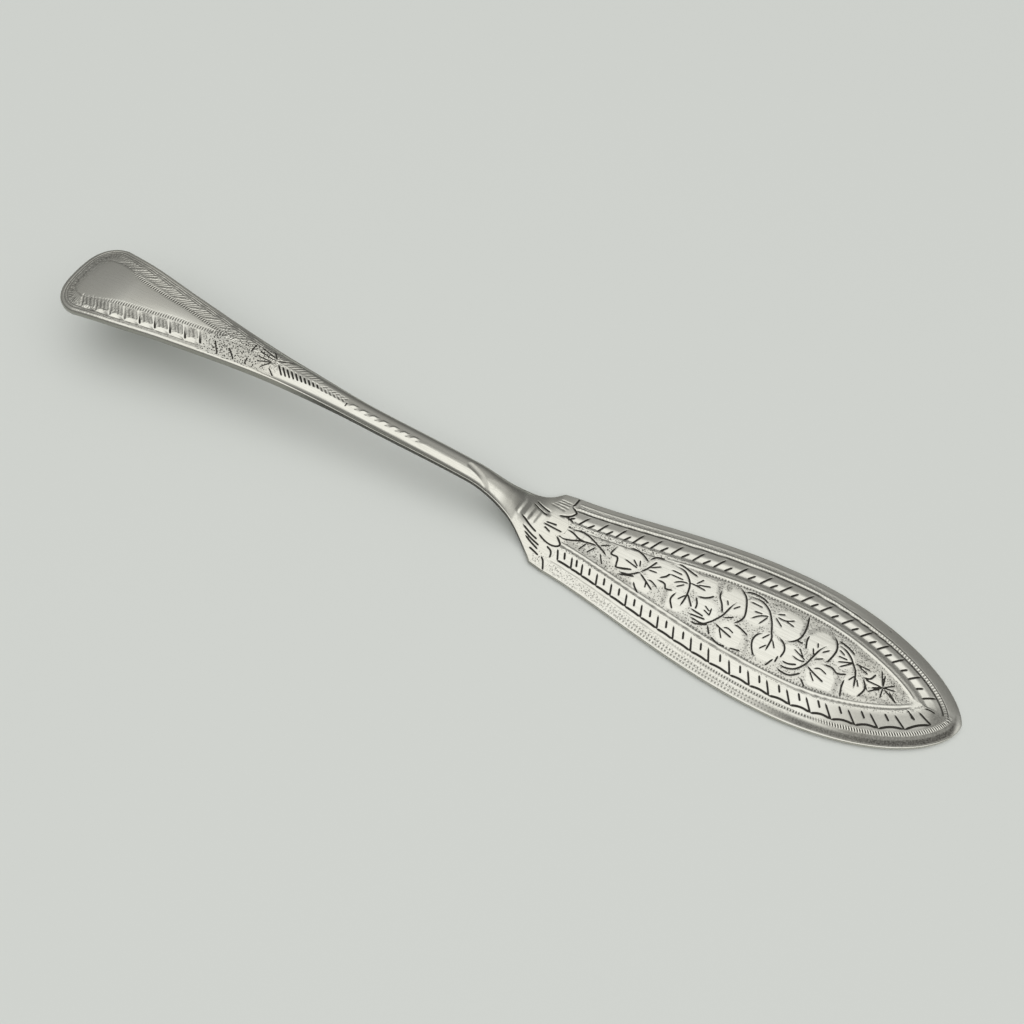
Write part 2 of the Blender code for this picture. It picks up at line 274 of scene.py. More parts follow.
# Strip and ridge inside the borders: the ridge's inset at root, belly and tip, and bands from the ridge
FAR_RIDGE = (7.1, 7.8, 8.15)
FAR_RIDGE_ROOT = (5.0, 25.0)
NEAR_RIDGE = (6.7, 7.0, 7.4)
NEAR_RIDGE_ROOT = (10.0, 30.0)
RIDGE_TIP = (52.0, 66.0)
RIDGE_END = (70.0, 71.5)
RIDGE_RISE = 0.1
NEAR_RIDGE_BAND = (0.0, 0.42)
FAR_RIDGE_BAND = (0.0, 0.3)
FAR_RIDGE_FROM = (18.0, 26.0)
NEAR_FOOT = (-0.38, 0.16)
FAR_FOOT = (0.36, 0.14)
FAR_FOOT_END = (16.0, 26.0)
STRIP_EDGE = (0.0, 0.2)
STRIP_END = (-0.45, -0.3)
STRIP_WIDER = 0.6
STRIP_STRENGTH = (1.0, 0.6)
STRIP_FADES = (18.0, 28.0)
DOT_BAND = (0.55, 0.3)
DOTTED = ((25.0, 29.0), (57.0, 61.0))

# Where the long border cuts meet the border line, and how long and short cuts lean and reach
FAR_CUTS = (3.6, 7.4, 11.0, 14.5, 18.1, 22.2, 26.5, 30.7, 35.2, 40.1, 44.2, 48.5, 52.5, 57.0, 61.0, 64.6,
            67.9, 71.6, 75.3)
FIRST_SHORT = 1.9
FAR_LEAN = 1.3
BELLY_LEAN = 1.1
LEAN_SPAN = 80.0
LONG_TOP = 3.65
LONG_PAST = 0.25
SHORT_TOP = 4.95
SHORT_PAST = 0.2
SHORT_LEAN = 0.35
NEAR_CUTS = (1.8, 4.8, 7.1, 10.4, 13.6, 17.0, 20.4, 24.0, 27.4, 31.2, 34.9, 39.2, 43.1, 46.9, 50.9, 54.7,
             58.4, 62.6, 66.6, 71.0, 75.2)
NEAR_LEAN = (1.0, 1.6)
NEAR_SHORT_PLACE = 0.55
NEAR_SHORT_BACK = 0.6
NEAR_SHORT_FROM = (-0.7, 0.1)
NEAR_SHORT_TO = -1.35
SCOOP_BOWS = (0.08, 0.46)
SCOOP_POINTS = 7

# Blade's panel: zones from the ridge and along x, edges as shares of a patch's or lobe's size, strengths
PANEL_EDGE = (0.25, 0.5)
GROUND = ((0.8, 1.6), (70.0, 72.0))
GROUND_STRENGTH = (0.85, 0.75)
GROUND_FADES = (8.0, 14.0)
GROUND_STAIN = 0.2
SHADE_EDGE = (0.2, 1.3)
SHADE_STAIN = 0.36
LOBE_EDGE = (0.85, 1.1)

# Shaded patches beside the leaves: half width, then x and y of points down the middle
SHADES = (
    (0.9, (1.6, 2.6, 5.0, 2.6, 9.0, 2.4)), (0.9, (2.5, -1.6, 6.0, -2.0, 10.5, -2.8)),
    (0.6, (12.5, 3.0, 14.0, 4.2, 18.0, 4.3, 21.5, 4.6)), (0.5, (22.5, 5.0, 27.0, 4.9, 31.0, 5.3)),
    (0.7, (31.8, 5.4, 31.6, 4.0, 31.9, 2.6)), (0.6, (33.3, 5.2, 33.2, 4.3)),
    (0.6, (12.0, -3.3, 16.0, -3.9)), (0.45, (17.5, -4.6, 21.5, -4.8)), (0.7, (22.6, -2.0, 22.9, -4.4)),
    (0.5, (24.5, -5.4, 28.0, -5.5)), (0.4, (28.5, -6.2, 33.5, -6.7)),
    (0.5, (39.3, -3.2, 39.9, -5.0, 40.2, -6.9)), (0.5, (41.9, 5.4, 43.5, 6.0, 48.0, 6.0)),
    (0.4, (48.5, 1.9, 48.7, 5.8)), (0.7, (49.8, 3.2, 51.0, 4.7, 53.0, 5.4, 54.6, 4.6)),
    (0.7, (57.2, -2.8, 57.3, -5.8)), (0.5, (52.4, -7.2, 56.5, -6.5)), (0.5, (58.6, -5.3, 60.5, -5.1)),
    (0.7, (59.4, 4.0, 61.8, 3.4)), (0.8, (66.5, 1.4, 69.0, 0.2)), (0.8, (67.4, -0.9, 69.5, -1.0)),
    (0.7, (62.0, -4.0, 64.5, -3.3, 67.4, -2.7)), (0.4, (36.0, 6.6, 41.0, 6.5)),
)

# Lobes of the leaves, which stand out bright from the stippled ground: x, y and radius
LOBES = (
    (1.0, 0.0, 1.0), (2.3, 0.1, 0.7), (3.2, 1.2, 0.9), (5.0, 0.95, 0.8), (6.4, 0.75, 0.5),
    (13.5, 1.0, 3.2), (20.5, 1.2, 3.0), (17.8, -3.0, 2.2), (24.6, 2.4, 3.0), (29.0, 2.8, 2.6),
    (25.0, -2.8, 2.4), (34.8, 2.2, 3.0), (30.5, -2.3, 2.6), (36.3, -4.5, 2.6), (39.5, 2.2, 2.8),
    (45.8, 2.6, 3.2), (43.5, -3.5, 2.9), (52.5, 2.0, 2.9), (48.0, -3.0, 2.3), (54.2, -4.5, 2.8),
    (57.0, 1.5, 2.2), (60.0, -2.8, 2.0), (63.2, 0.0, 1.6),
)

# Sprig and ivy leaves down the panel: bold strokes and fine veins, as x and y of each point in turn
LEAF_STROKES = (
    (1.6, 1.3, 2.5, 1.8, 3.6, 2.0, 5.0, 1.75, 6.2, 1.3, 7.2, 0.8, 8.5, 0.2, 9.7, -0.6),
    (0.7, 1.1, 2.0, 0.9, 3.5, 0.3, 5.0, 0.15),
    (-0.2, -1.05, 1.0, -1.15, 2.5, -0.7, 4.0, 0.0, 6.5, 0.5, 7.1, 0.4),
    (16.7, -0.7, 17.8, 0.8, 18.9, 3.0), (16.7, -0.7, 18.2, -1.7, 20.2, -3.1), (13.0, -1.8, 15.1, -0.9),
    (13.0, -2.5, 15.0, -2.1, 16.7, -0.7), (13.0, -3.0, 16.1, -2.0),
    (10.9, 2.7, 10.3, 0.4, 11.7, 0.2, 12.1, -1.4, 12.5, -1.8, 15.0, -0.9),
    (13.0, 3.4, 14.5, 3.5, 16.0, 3.1, 17.4, 2.2), (17.5, 2.8, 18.5, 3.9, 20.0, 4.3),
    (20.5, 0.1, 21.5, 0.9, 22.0, 1.8), (20.2, -0.5, 21.8, -0.6, 22.4, -1.5, 23.7, -1.2),
    (16.4, -3.0, 17.0, -3.9, 18.0, -4.8),
    (22.3, 4.1, 24.0, 3.9, 25.0, 3.3, 26.0, 2.0, 26.4, 0.5, 26.4, -1.5, 26.1, -3.5),
    (22.5, 4.7, 24.0, 4.6, 26.0, 4.1, 27.0, 3.9), (24.5, -1.2, 24.0, -3.0, 25.0, -4.8),
    (26.5, -0.4, 28.1, -2.7), (28.1, -0.2, 28.8, -1.5, 28.9, -2.7),
    (28.3, 0.0, 29.5, 0.2, 30.5, 0.8, 31.2, 1.5),
    (35.5, 2.5, 34.8, 1.0, 34.0, -1.3, 33.0, -2.9, 32.2, -3.9, 31.0, -4.8, 28.5, -4.6),
    (28.0, -3.0, 30.8, -3.4), (28.0, -4.1, 31.3, -3.8), (28.8, -5.3, 30.0, -5.4, 32.0, -4.6),
    (32.1, 3.5, 32.2, 2.0, 33.0, 0.7, 33.7, -1.0),
    (34.3, 5.9, 35.0, 5.8, 36.0, 5.1, 37.0, 3.8, 37.7, 0.8, 37.3, -0.8, 36.3, -2.0),
    (32.1, -4.6, 33.0, -6.2), (33.2, -6.3, 35.0, -7.1, 36.5, -7.0), (33.0, -3.4, 34.2, -4.0, 37.0, -4.9),
    (36.0, 5.2, 37.5, 5.8, 39.5, 5.8, 41.0, 5.2),
    (37.0, 4.9, 39.0, 5.1, 40.3, 4.8, 41.5, 3.9, 42.2, 2.8, 42.8, 1.5, 43.3, -0.2, 43.7, -1.5, 43.4, -4.4),
    (42.0, -1.1, 41.0, -2.0, 40.6, -3.3, 40.9, -4.7, 41.6, -5.9, 42.1, -6.1),
    (44.7, -0.4, 46.0, -1.2, 46.6, -2.5, 46.3, -4.2), (45.9, -4.0, 45.7, -5.5), (45.3, -5.0, 44.3, -6.9),
    (46.0, -0.5, 47.0, -0.3, 48.0, 0.5, 48.7, 1.8, 49.0, 4.0, 48.8, 6.6), (48.0, 0.5, 49.3, 0.5),
    (36.3, -2.2, 37.5, -2.2, 39.5, -3.0), (37.2, -6.9, 39.3, -6.5),
    (53.5, 2.3, 52.5, 0.8, 51.7, -1.2, 51.0, -3.0, 50.0, -4.4, 49.0, -5.2, 47.5, -5.6, 46.5, -5.3),
    (46.6, -4.6, 48.0, -4.6, 49.5, -4.0), (46.0, -6.1, 47.3, -6.6, 49.0, -6.5, 50.7, -5.2),
    (50.0, 2.7, 49.8, 1.5, 50.1, -0.3), (54.0, 5.2, 55.0, 4.0, 55.4, 2.3, 54.7, -0.2, 54.2, -0.9),
    (53.8, -1.6, 55.5, -1.4, 56.8, -2.0, 58.4, -1.3), (50.9, -6.0, 52.1, -7.3),
    (51.0, -3.1, 52.5, -3.9, 55.0, -4.9), (55.0, 4.5, 57.0, 4.1, 58.8, 3.2),
    (55.3, 3.8, 57.0, 3.2, 58.2, 2.3, 58.9, 1.3, 59.8, -0.2, 60.3, -3.2),
    (58.3, -2.3, 58.2, -4.0, 58.5, -6.0), (61.6, -0.6, 62.2, -2.4, 61.4, -4.4),
    (61.2, -0.4, 62.6, 0.0, 63.4, 1.4),
)
LEAF_VEINS = (
    (5.3, 0.2, 4.4, -1.9), (7.2, 0.2, 6.0, -1.7), (7.7, 0.9, 9.4, 1.9), (8.4, -0.6, 9.6, -2.6),
    (0.1, 1.4, 1.2, 1.9), (18.2, 1.2, 20.0, 2.4), (18.0, 0.6, 19.7, 0.8), (13.0, 0.6, 16.0, -0.1),
    (14.6, 1.4, 15.9, 0.2), (15.9, 1.8, 16.3, 0.4), (18.5, -1.8, 18.8, -3.2),
    (18.6, -1.4, 19.5, -1.4, 20.8, -2.1), (22.0, 2.8, 24.2, 2.8), (22.0, 1.8, 24.8, 1.85),
    (23.2, 0.4, 24.5, 1.3, 25.8, 1.6), (23.9, -0.2, 25.3, 1.0), (26.0, 1.9, 27.3, 1.9, 29.3, 1.8),
    (27.2, 2.2, 28.3, 3.8), (27.4, 2.1, 30.0, 3.0), (26.3, -0.9, 25.2, -2.4), (33.7, 2.0, 34.2, 1.0),
    (36.4, 2.0, 35.3, 0.8), (31.6, -1.0, 31.7, -2.7), (30.2, -1.1, 31.4, -1.9), (30.2, -2.0, 31.8, -2.7),
    (34.2, -1.9, 36.0, -0.8), (34.2, -4.1, 35.3, -5.9), (34.8, -3.8, 35.7, -3.4, 37.0, -3.9),
    (37.7, 3.9, 40.3, 3.8), (39.0, 2.3, 40.6, 2.5), (38.8, 0.5, 40.3, 1.9, 41.8, 2.6),
    (40.5, 0.1, 41.7, 2.3), (43.0, 3.3, 45.0, 3.3, 46.6, 4.2), (45.0, 3.3, 46.8, 2.9),
    (43.2, 3.9, 44.6, 4.5), (43.0, 3.1, 44.7, 1.7), (43.2, -0.7, 42.1, -2.2), (43.9, -1.5, 44.8, -3.1),
    (43.3, -3.0, 42.2, -4.4), (51.8, 2.1, 52.1, 1.1), (54.3, 1.7, 53.1, 0.6), (51.3, 0.7, 51.7, -0.7),
    (52.0, -1.5, 53.7, -0.5), (48.9, -0.5, 50.2, -2.2), (47.9, -1.2, 50.7, -2.5),
    (48.1, -2.7, 49.5, -3.0, 50.7, -2.8), (52.4, -3.3, 53.6, -2.7, 55.1, -3.2), (52.0, -4.0, 53.3, -5.6),
    (55.8, 2.8, 57.1, 2.1), (55.8, 1.4, 57.8, 1.5), (56.0, 0.2, 58.8, 1.4), (56.6, -0.7, 58.7, 1.2),
    (59.0, 1.5, 62.3, 1.6), (60.0, 1.3, 62.0, 0.6), (59.9, -0.8, 59.0, -2.2), (60.3, -1.2, 61.0, -2.6),
    (63.5, -1.6, 64.8, -1.2), (61.4, -0.6, 62.6, -2.4), (66.3, -0.6, 68.2, -2.2),
    (73.2, -0.5, 74.2, -0.3, 75.3, -0.4), (70.3, -2.3, 71.0, -2.7, 71.7, -3.5),
)
SPRAY = (65.2, -0.5)
SPRAY_ENDS = (
    (64.2, 2.7), (65.0, 2.1), (61.8, -0.6), (67.5, 0.0), (68.2, -2.2), (65.2, -2.7), (63.3, -1.5),
    (62.8, -2.6), (67.2, 1.0),
)

# Collar: lobes' outlines and the flutes behind them, and bands in x and y of its stippled corner
COLLAR_LOBES = (
    (0.0, 9.0, -0.2, 7.5, -0.5, 6.4), (-0.5, 6.3, 0.75, 5.4, 0.5, 4.6, 0.0, 4.0, -1.0, 3.4, -2.0, 3.1),
    (-0.5, 3.5, 1.0, 3.1),
    (-0.4, -1.4, 0.5, -2.2, 0.85, -2.7, 0.6, -3.2, 0.0, -3.5, -1.0, -3.6, -2.3, -3.3, -3.8, -2.6),
    (-1.2, -4.2, -0.3, -4.6, 0.1, -5.2, 0.25, -6.1), (-1.2, -6.6, -0.6, -7.2, 0.0, -8.5, 0.15, -9.1),
)
COLLAR_FLUTES = (
    (-7.0, 3.3, -3.8, 2.8), (-7.2, 2.35, -3.9, 1.75), (-8.1, -1.4, -4.3, -2.5), (-7.0, -2.8, -3.5, -3.8),
    (-6.3, -3.6, -2.6, -4.8), (-5.8, -4.2, -2.5, -5.6), (-4.2, -5.8, -1.9, -6.6), (-3.6, 0.5, -1.4, 0.85),
    (-3.8, 0.0, 0.1, -0.1), (-3.5, -0.6, -2.0, -1.2),
)
FAR_FLUTES = (
    (-4.4, 4.85, -1.4, 4.6), (-3.9, 5.4, -1.0, 5.4), (-3.5, 6.0, -1.0, 6.2), (-3.0, 6.7, -0.8, 6.7),
)
CORNER_ALONG = (-1.8, 1.6)
CORNER_ACROSS = (-7.0, 1.6)

# Handle's paddle: cartouche, then bands, zones and strengths as on the blade
FRAME = (
    -74.6, 0.5, -80.0, 1.35, -85.0, 2.15, -90.0, 2.65, -95.0, 3.35, -98.0, 4.15, -100.5, 4.95, -103.0,
    5.3, -105.6, 5.0, -107.3, 3.5, -107.7, 1.0, -107.7, -1.5, -107.2, -3.8, -105.3, -5.0, -103.0, -5.1,
    -101.0, -4.5, -98.0, -3.7, -95.0, -3.05, -90.0, -2.15, -85.0, -1.25, -80.0, -0.55, -75.2, 0.3,
)
FRAME_LINE = (0.0, 0.14)
FRAME_BAND = (0.0, 0.46)
FRAME_BLUNT = 0.6
FRAME_DARK = (0.65, 0.85)
PADDLE_BLEND = 0.2
PADDLE_END = (-70.0, -62.0)
BLUNT_END = (-101.0, -97.0)
RIM_LINE = 0.95
END_LINES = (RIM_LINE, 1.45)
END_LINE_HALF = 0.16
FAR_LINES_SHARE = 0.6
BAND_FIRST = -102.6
FAR_LAST = -70.0
NEAR_LAST = -77.0

# Near band of the paddle: limits of hatching strokes are (outer inset, inner inset, darkness)
CUT_PITCH = 3.15
STROKES_PER_CUT = 4
CUT_LEAN = 1.5
LEAN_DEPTH = 3.0
HATCH_BACK = 0.2
HATCH_LEAST = (4.1, 2.2, 0.3)
HATCH_MOST = (4.7, 2.6, 0.7)
MAIN_FROM = 4.5
MAIN_TO = 1.6
MAIN_WIDTH = (0.34, 0.48)
MAIN_DARK = (0.5, 1.3)
NEAR_BEGINS = (-1.0, 0.5)
NEAR_ENDS = (-1.0, 1.0)
SCOOP_INSET = 1.4
SCOOP_BOW = 0.75
SCOOP_DEPTH = 0.22
SCOOP_LIP = 0.2
UNIT = ((-0.8, -0.5), (0.45, 0.75))
HATCH_FOOT = (0.0, 0.3)
HATCH_INSET = (4.1, 4.6)
HATCH_STAIN = 0.36
DULL_INSET = (0.5, 0.75)
DULL_STAIN = 0.42
SPECKLED = ((-80.0, -76.0), (-67.0, -61.0))
SPECKLE_INSET = (0.4, 0.6)
SPECKLE_STAIN = 0.28
STIPPLE_BAND = (1.0, 0.5)

# Far band of the paddle: groups of strokes as (station, inset) steps, and its stipple
GROUP_PITCH = 4.0
LEAN_STEPS = np.arange(4) * 0.85
LEAN_FROM = (-1.3, 3.8)
LEAN_TO = (1.2, 2.1)
FLAT_STEPS = np.arange(2) * 0.45
FLAT_FROM = (0.4, 1.25)
FLAT_TO = (3.4, 1.5)
FAR_STIPPLE = (2.6, 1.6)

# Paddle's blunt end, where limits of ticks are (lean, inner inset, darkness), and its turn to the stem
END_STIPPLE = (2.1, 1.4)
END_STATIONS = np.arange(0.4, 11.0, 0.8)
END_TOP = 2.7
END_LEAST = (-0.6, 1.5, 0.4)
END_MOST = (0.9, 2.0, 0.78)
TURN_ZONE = ((-79.0, -75.0), (-64.0, -60.0))
TURN_BAND = (0.4, 3.6)
TURN_STROKES = (
    (-75.8, -1.5, -73.9, -3.8), (-72.5, -1.6, -70.6, -3.3), (-68.5, 1.9, -68.5, -0.2),
)

# Stem: star, then rows of strokes for the two sides of herringbone and wheat-ear, then flames
STAR_RAYS = (
    (-63.6, 0.9, -65.0, 1.3, -67.2, 1.7), (-63.8, 0.4, -65.5, 0.6, -67.2, 0.9),
    (-63.8, -0.2, -66.6, -0.4), (-63.9, -0.4, -65.2, -0.9, -66.4, -1.5),
    (-63.7, -0.3, -64.4, -1.2, -65.2, -2.2), (-63.5, -1.7, -62.2, -2.7),
    (-63.0, 0.6, -61.0, 1.5, -60.0, 2.1), (-63.3, 0.8, -64.6, 2.2), (-68.3, -1.7, -68.3, -3.1),
    (-47.0, -0.3, -47.0, -1.3),
)
HERRINGBONE = dict(count=10, first=-62.5, pitch=0.95, length=2.5, shrink=0.17, width=0.36)
WHEAT = dict(count=6, pitch=0.95, length=0.75, shrink=0.05)
STEM_ROWS = (
    dict(HERRINGBONE, foot=0.1, aim=(0.75, -0.8), depth=0.14, dark=0.9),
    dict(HERRINGBONE, foot=0.5, aim=(0.75, 0.65), depth=0.09, dark=0.4),
    dict(WHEAT, first=-53.0, foot=-0.05, aim=(1.0, -1.0), width=0.34, depth=0.12, dark=0.75),
    dict(WHEAT, first=-52.6, foot=0.1, aim=(1.0, 0.7), width=0.3, depth=0.1, dark=0.7),
)
WHEAT_BAND = (0.0, 0.85)
WHEAT_ZONE = ((-56.0, -54.5), (-48.5, -46.5))
FLAME_FIRST = -45.85
FLAME_PITCH = 2.22
FLAME_COUNT = 7
FLAME_FOOT = -1.05
FLAME_HEIGHT = 1.1
FLAME_HALF = 0.72
FLAME_LEAN = 0.6
FLAME_RISE = 0.18
FLAME_CRISP = 2.0
NOTCH_FROM = (0.65, 0.1)
NOTCH_TO = (1.1, 0.35)

# Stem's low ridge, and the terraces, crease and oval of the neck's foot
RIDGE_PLACES = (-1.3, -0.7)
RIDGE_MOVES = (-58.0, -46.0)
RIDGE_ZONE = ((-68.0, -58.0), (-22.0, -14.0))
RIDGE_SLOPE = 0.15
RIDGE_REACH = 2.0
RIDGE_ROUND = 0.15
NECK_STEPS = ((-9.5, 0.0), (-9.0, -0.08), (-8.5, 0.1), (-7.6, -0.06), (-6.9, 0.16), (-6.4, 0.06),
              (-5.6, 0.24), (-5.2, 0.14), (-4.3, 0.22), (-3.4, 0.0))
NECK_LEAN = 0.12
NECK_ACROSS = ((-1.9, -1.3), (1.6, 2.3))
NECK_CREASE = (-20.5, 0.3, -18.0, -0.5, -16.9, -1.1, -16.0, -1.9)
CREASE_DEPTH = 0.1
CREASE_EDGE = (0.1, 0.75)
NECK_OVAL = (-6.6, -0.2)
OVAL_SQUEEZE = 2.0
OVAL_HALF = 0.8
OVAL_STAIN = 0.4

# Painted shade on the stem's far side and neck: its edge, the neck's bright patch, and shade painted on the
# sides
STEM_ZONE = ((-66.0, -56.0), (-9.6, -9.0))
STEM_PAINTED_SHADE = 0.38
PAINTED_SHADE_EDGE = ((-66.0, 0.8), (-54.0, -0.6), (-47.0, -1.0), (-31.0, -1.0), (-29.5, -0.35), (-24.6, -0.3),
             (-20.4, -0.1), (-19.4, -0.45), (-18.3, -0.92), (-16.3, -1.86), (-15.8, -3.5))
BRIGHT_EDGE = (-0.1, 0.3)
PATCH_CORNER = (-17.0, -0.16)
PATCH_LEAN = 0.87
PATCH_SLOPE = 0.39
PATCH_BACK = (0.0, 0.6)
PATCH_TOP = (-0.2, 0.4)
PATCH_END = (-13.6, -11.2)
NEAR_EDGE_SHADE = 0.55
WALL_SIDE = (0.0, 0.5)
WALL_INSET = (0.12, 0.38)
SIDE_SHADE_TONES = (0.35, 0.85, 0.25)
WALL_STEM = (-62.0, -50.0)
WALL_COLLAR = (-6.0, -3.0)
SIDE_PAINTED_SHADE = (0.0, 0.1, 0.5, 0.9, 1.0, 1.0, 1.0, 0.5, 0.2)
FAR_SIDE_SHADE = 0.35

# Finish of the metal: sizes and depths of its patterns in mm, and how its roughness varies
BLOOM_SIZE = 9.0
HAIRLINE_LENGTH = 7.0
HAIRLINE_WIDTH = 0.26
STAIN_GRAIN = 0.3
SOLDER_GRAIN = 0.4
STIPPLE_PITCH = 0.36
POLISH_DEPTH = 0.02
MARK_DEPTH = 0.04
POLISH_VARIES = (-0.05, 0.07)
OXIDE_ROUGHNESS = 0.3

# Floor, light and camera
FLOOR_SIZE = 3.0
NEAR_REACH = 0.16
SIDE_REACH = 0.4
SIDE_FROM = 0.4
SKY_STRENGTH = 1.6
SKY_TONES = ((0.0, 0.2), (0.26, 0.19), (0.42, 0.2), (0.6, 0.29), (0.7, 0.4), (0.74, 0.45), (0.795, 0.93),
             (0.82, 1.0))
CAMERA_ELEVATION = 59.963
KNIFE_AZIMUTH = -17.791
CAMERA_ROLL = 10.163
CAMERA_OFFSET = (9.542, 4.319, 184.175)
CAMERA_DATUM = 0.75
CLIP_START = 0.01
FOCAL_PIXELS = 950.0
IMAGE_SIDE = 1024.0
SENSOR_WIDTH = 36.0


def linear(hex_colour):
    """sRGB hex to linear RGBA."""
    parts = np.array([int(hex_colour[i:i + 2], 16) for i in (1, 3, 5)]) / 255.0
    straight = np.where(parts <= 0.04045, parts / 12.92, ((parts + 0.055) / 1.055) ** 2.4)
    return (*straight, 1.0)


def node(tree, kind, out, inputs=(), **settings):
    """Add a shader node, set its properties, set or link its inputs, and return one of its outputs."""
    made = tree.nodes.new("ShaderNode" + kind)
    for name, value in settings.items():
        setattr(made, name, value)
    for name, value in dict(inputs).items():
        if isinstance(value, bpy.types.NodeSocket):
            tree.links.new(value, made.inputs[name])
        else:
            made.inputs[name].default_value = value
    return made.outputs[out]


def ramp(low, high, value):
    """Smooth step from 0 at low to 1 at high."""
    share = np.clip((value - low) / (high - low), 0.0, 1.0)
    return share * share * (3.0 - 2.0 * share)


def fall(low, high, value):
    """Smooth step from 1 at low to 0 at high."""
    return 1.0 - ramp(low, high, value)


def window(value, opening, closing):
    """Smooth step up over one zone and down over another."""
    return ramp(*opening, value) * fall(*closing, value)


def hump(value, middle, half):
    """Rounded hump: 1 at the middle, 0 from half a width on."""
    return np.clip(1.0 - ((value - middle) / half) ** 2, 0.0, 1.0)


def between(pair, share):
    """A share of the way from the first value to the second."""
    return pair[0] + (pair[1] - pair[0]) * share


def eased(values, first, second, at):
    """Three values along the length, with a smooth step from each to the next."""
    return between(values[:2], ramp(*first, at)) + (values[2] - values[1]) * ramp(*second, at)


def smooth_curve(stations, at):
    """Monotone cubic through (place, value) stations, so it never overshoots between them."""
    place, value = np.array(stations).T
    step = np.diff(place)
    secant = np.diff(value) / step
    product = secant[:-1] * secant[1:]
    total = secant[:-1] + secant[1:]
    inner = np.divide(2.0 * product, total, out=np.zeros_like(total), where=product > 0.0)
    slope = np.concatenate([secant[:1], inner, secant[-1:]])
    span = np.clip(np.searchsorted(place, at, side="right") - 1, 0, len(step) - 1)
    share = (at - place[span]) / step[span]
    rising = share * share * (3.0 - 2.0 * share)
    leaving = share * (1.0 - share) ** 2
    arriving = share * share * (share - 1.0)
    bend = step[span] * (slope[span] * leaving + slope[span + 1] * arriving)
    return value[span] * (1.0 - rising) + value[span + 1] * rising + bend


def blade_half_width(x):
    """Flare as a power of a sine from shoulder to belly, then a power of a half ellipse to the tip."""
    flare = np.clip(x / BELLY, 0.0, 1.0)
    point = np.clip((x - BELLY) / (TIP - BELLY), 0.0, 1.0)
    flared = SHOULDER_WIDTH + (BELLY_WIDTH - SHOULDER_WIDTH) * np.sin(np.pi / 2.0 * flare) ** FLARE_EXPONENT
    return flared * (1.0 - point * point) ** POINT_EXPONENT / 2.0


def handle_half_width(x):
    """Straight collar, power-law neck, smooth stem and paddle, blunt end as a power of a half ellipse."""
    behind = np.clip(-x, 0.0, HANDLE_LENGTH)
    collar = SHOULDER_WIDTH + (CORNER_WIDTH - SHOULDER_WIDTH) * behind / CORNER
    neck_share = np.clip((WAIST - behind) / (WAIST - CORNER), 0.0, 1.0)
    neck = WAIST_WIDTH + (CORNER_WIDTH - WAIST_WIDTH) * neck_share ** NECK_EXPONENT
    paddle = smooth_curve(WIDTHS, np.clip(behind, WAIST, PADDLE_WIDEST))
    end_share = np.clip((behind - PADDLE_WIDEST) / END_LENGTH, 0.0, 1.0)
    rounded = paddle * (1.0 - end_share * end_share) ** END_EXPONENT
    behind_neck = np.where(behind < WAIST, neck, rounded)
    return np.where(behind < CORNER, collar, behind_neck) / 2.0


def scallop(across):
    """Collar's front edge: a power of a sine from notch to notch, fading at the corners."""
    notches = np.array(NOTCHES)
    lobe = np.clip(np.searchsorted(notches, across, side="right") - 1, 0, len(notches) - 2)
    share = (across - notches[lobe]) / (notches[lobe + 1] - notches[lobe])
    fade = 1.0 - np.abs(across) ** SCALLOP_FADE
    return (LOBE_REACH * np.sin(np.pi * np.clip(share, 0.0, 1.0)) ** LOBE_ROUND - NOTCH_BACK) * fade


def smooth_line(points):
    """Catmull-Rom curve through given points, a few steps a span."""
    points = np.array(points, float).reshape(-1, 2)
    if len(points) < 3:
        return points
    padded = np.concatenate([2.0 * points[:1] - points[1:2], points, 2.0 * points[-1:] - points[-2:-1]])
    a, b, c, d = (padded[i:len(padded) - 3 + i, None] for i in range(4))
    t = np.linspace(0.0, 1.0, SPAN_STEPS, endpoint=False)[:, None]
    curve = 0.5 * (2.0 * b + (c - a) * t + (2.0 * a - 5.0 * b + 4.0 * c - d) * t ** 2
                   + (3.0 * b - a - 3.0 * c + d) * t ** 3)
    return np.concatenate([curve.reshape(-1, 2), points[-1:]])


def nearest_on(line, x, y):
    """Distance from each grid point to a line of points, and how far along the line its nearest place is."""
    reach = np.full(x.shape, np.inf)
    station = np.zeros(x.shape)
    run = 0.0
    for (ax, ay), (bx, by) in zip(line[:-1], line[1:]):
        length = np.hypot(bx - ax, by - ay)
        share = np.clip(((x - ax) * (bx - ax) + (y - ay) * (by - ay)) / length ** 2, 0.0, 1.0)
        gap = np.hypot(x - ax - share * (bx - ax), y - ay - share * (by - ay))
        closer = gap < reach
        reach = np.where(closer, gap, reach)
        station = np.where(closer, run + share * length, station)
        run += length
    return reach, station


class Outline:
    """Far half of a forging's outline as points, with the distance run along it at each."""

    def __init__(self, along, half_width):
        self.points = np.stack([along, half_width(along)], axis=1)
        steps = np.hypot(*np.diff(self.points, axis=0).T)
        self.run = np.concatenate([[0.0], np.cumsum(steps)])

    def place(self, side, station, inset):
        """Points that lie inset from the edge, at stations along it, on the far (1) or near (-1) side."""
        ahead = np.gradient(self.points, self.run, axis=0)
        turn = np.stack([np.interp(station, self.run, ahead[:, k]) for k in (0, 1)], axis=-1)
        turn /= np.linalg.norm(turn, axis=-1, keepdims=True)
        edge = np.stack([np.interp(station, self.run, self.points[:, k]) for k in (0, 1)], axis=-1)
        inward = np.stack([turn[..., 1], -turn[..., 0]], axis=-1)
        spot = edge + inward * np.asarray(inset)[..., None]
        return spot * (1.0, side)

    def station_at(self, x, inset):
        """Stations whose points at that inset have these x."""
        spots = self.place(1.0, self.run, np.full(len(self.run), inset))[:, 0]
        rising = np.maximum.accumulate(spots)
        return np.interp(x, rising, self.run)


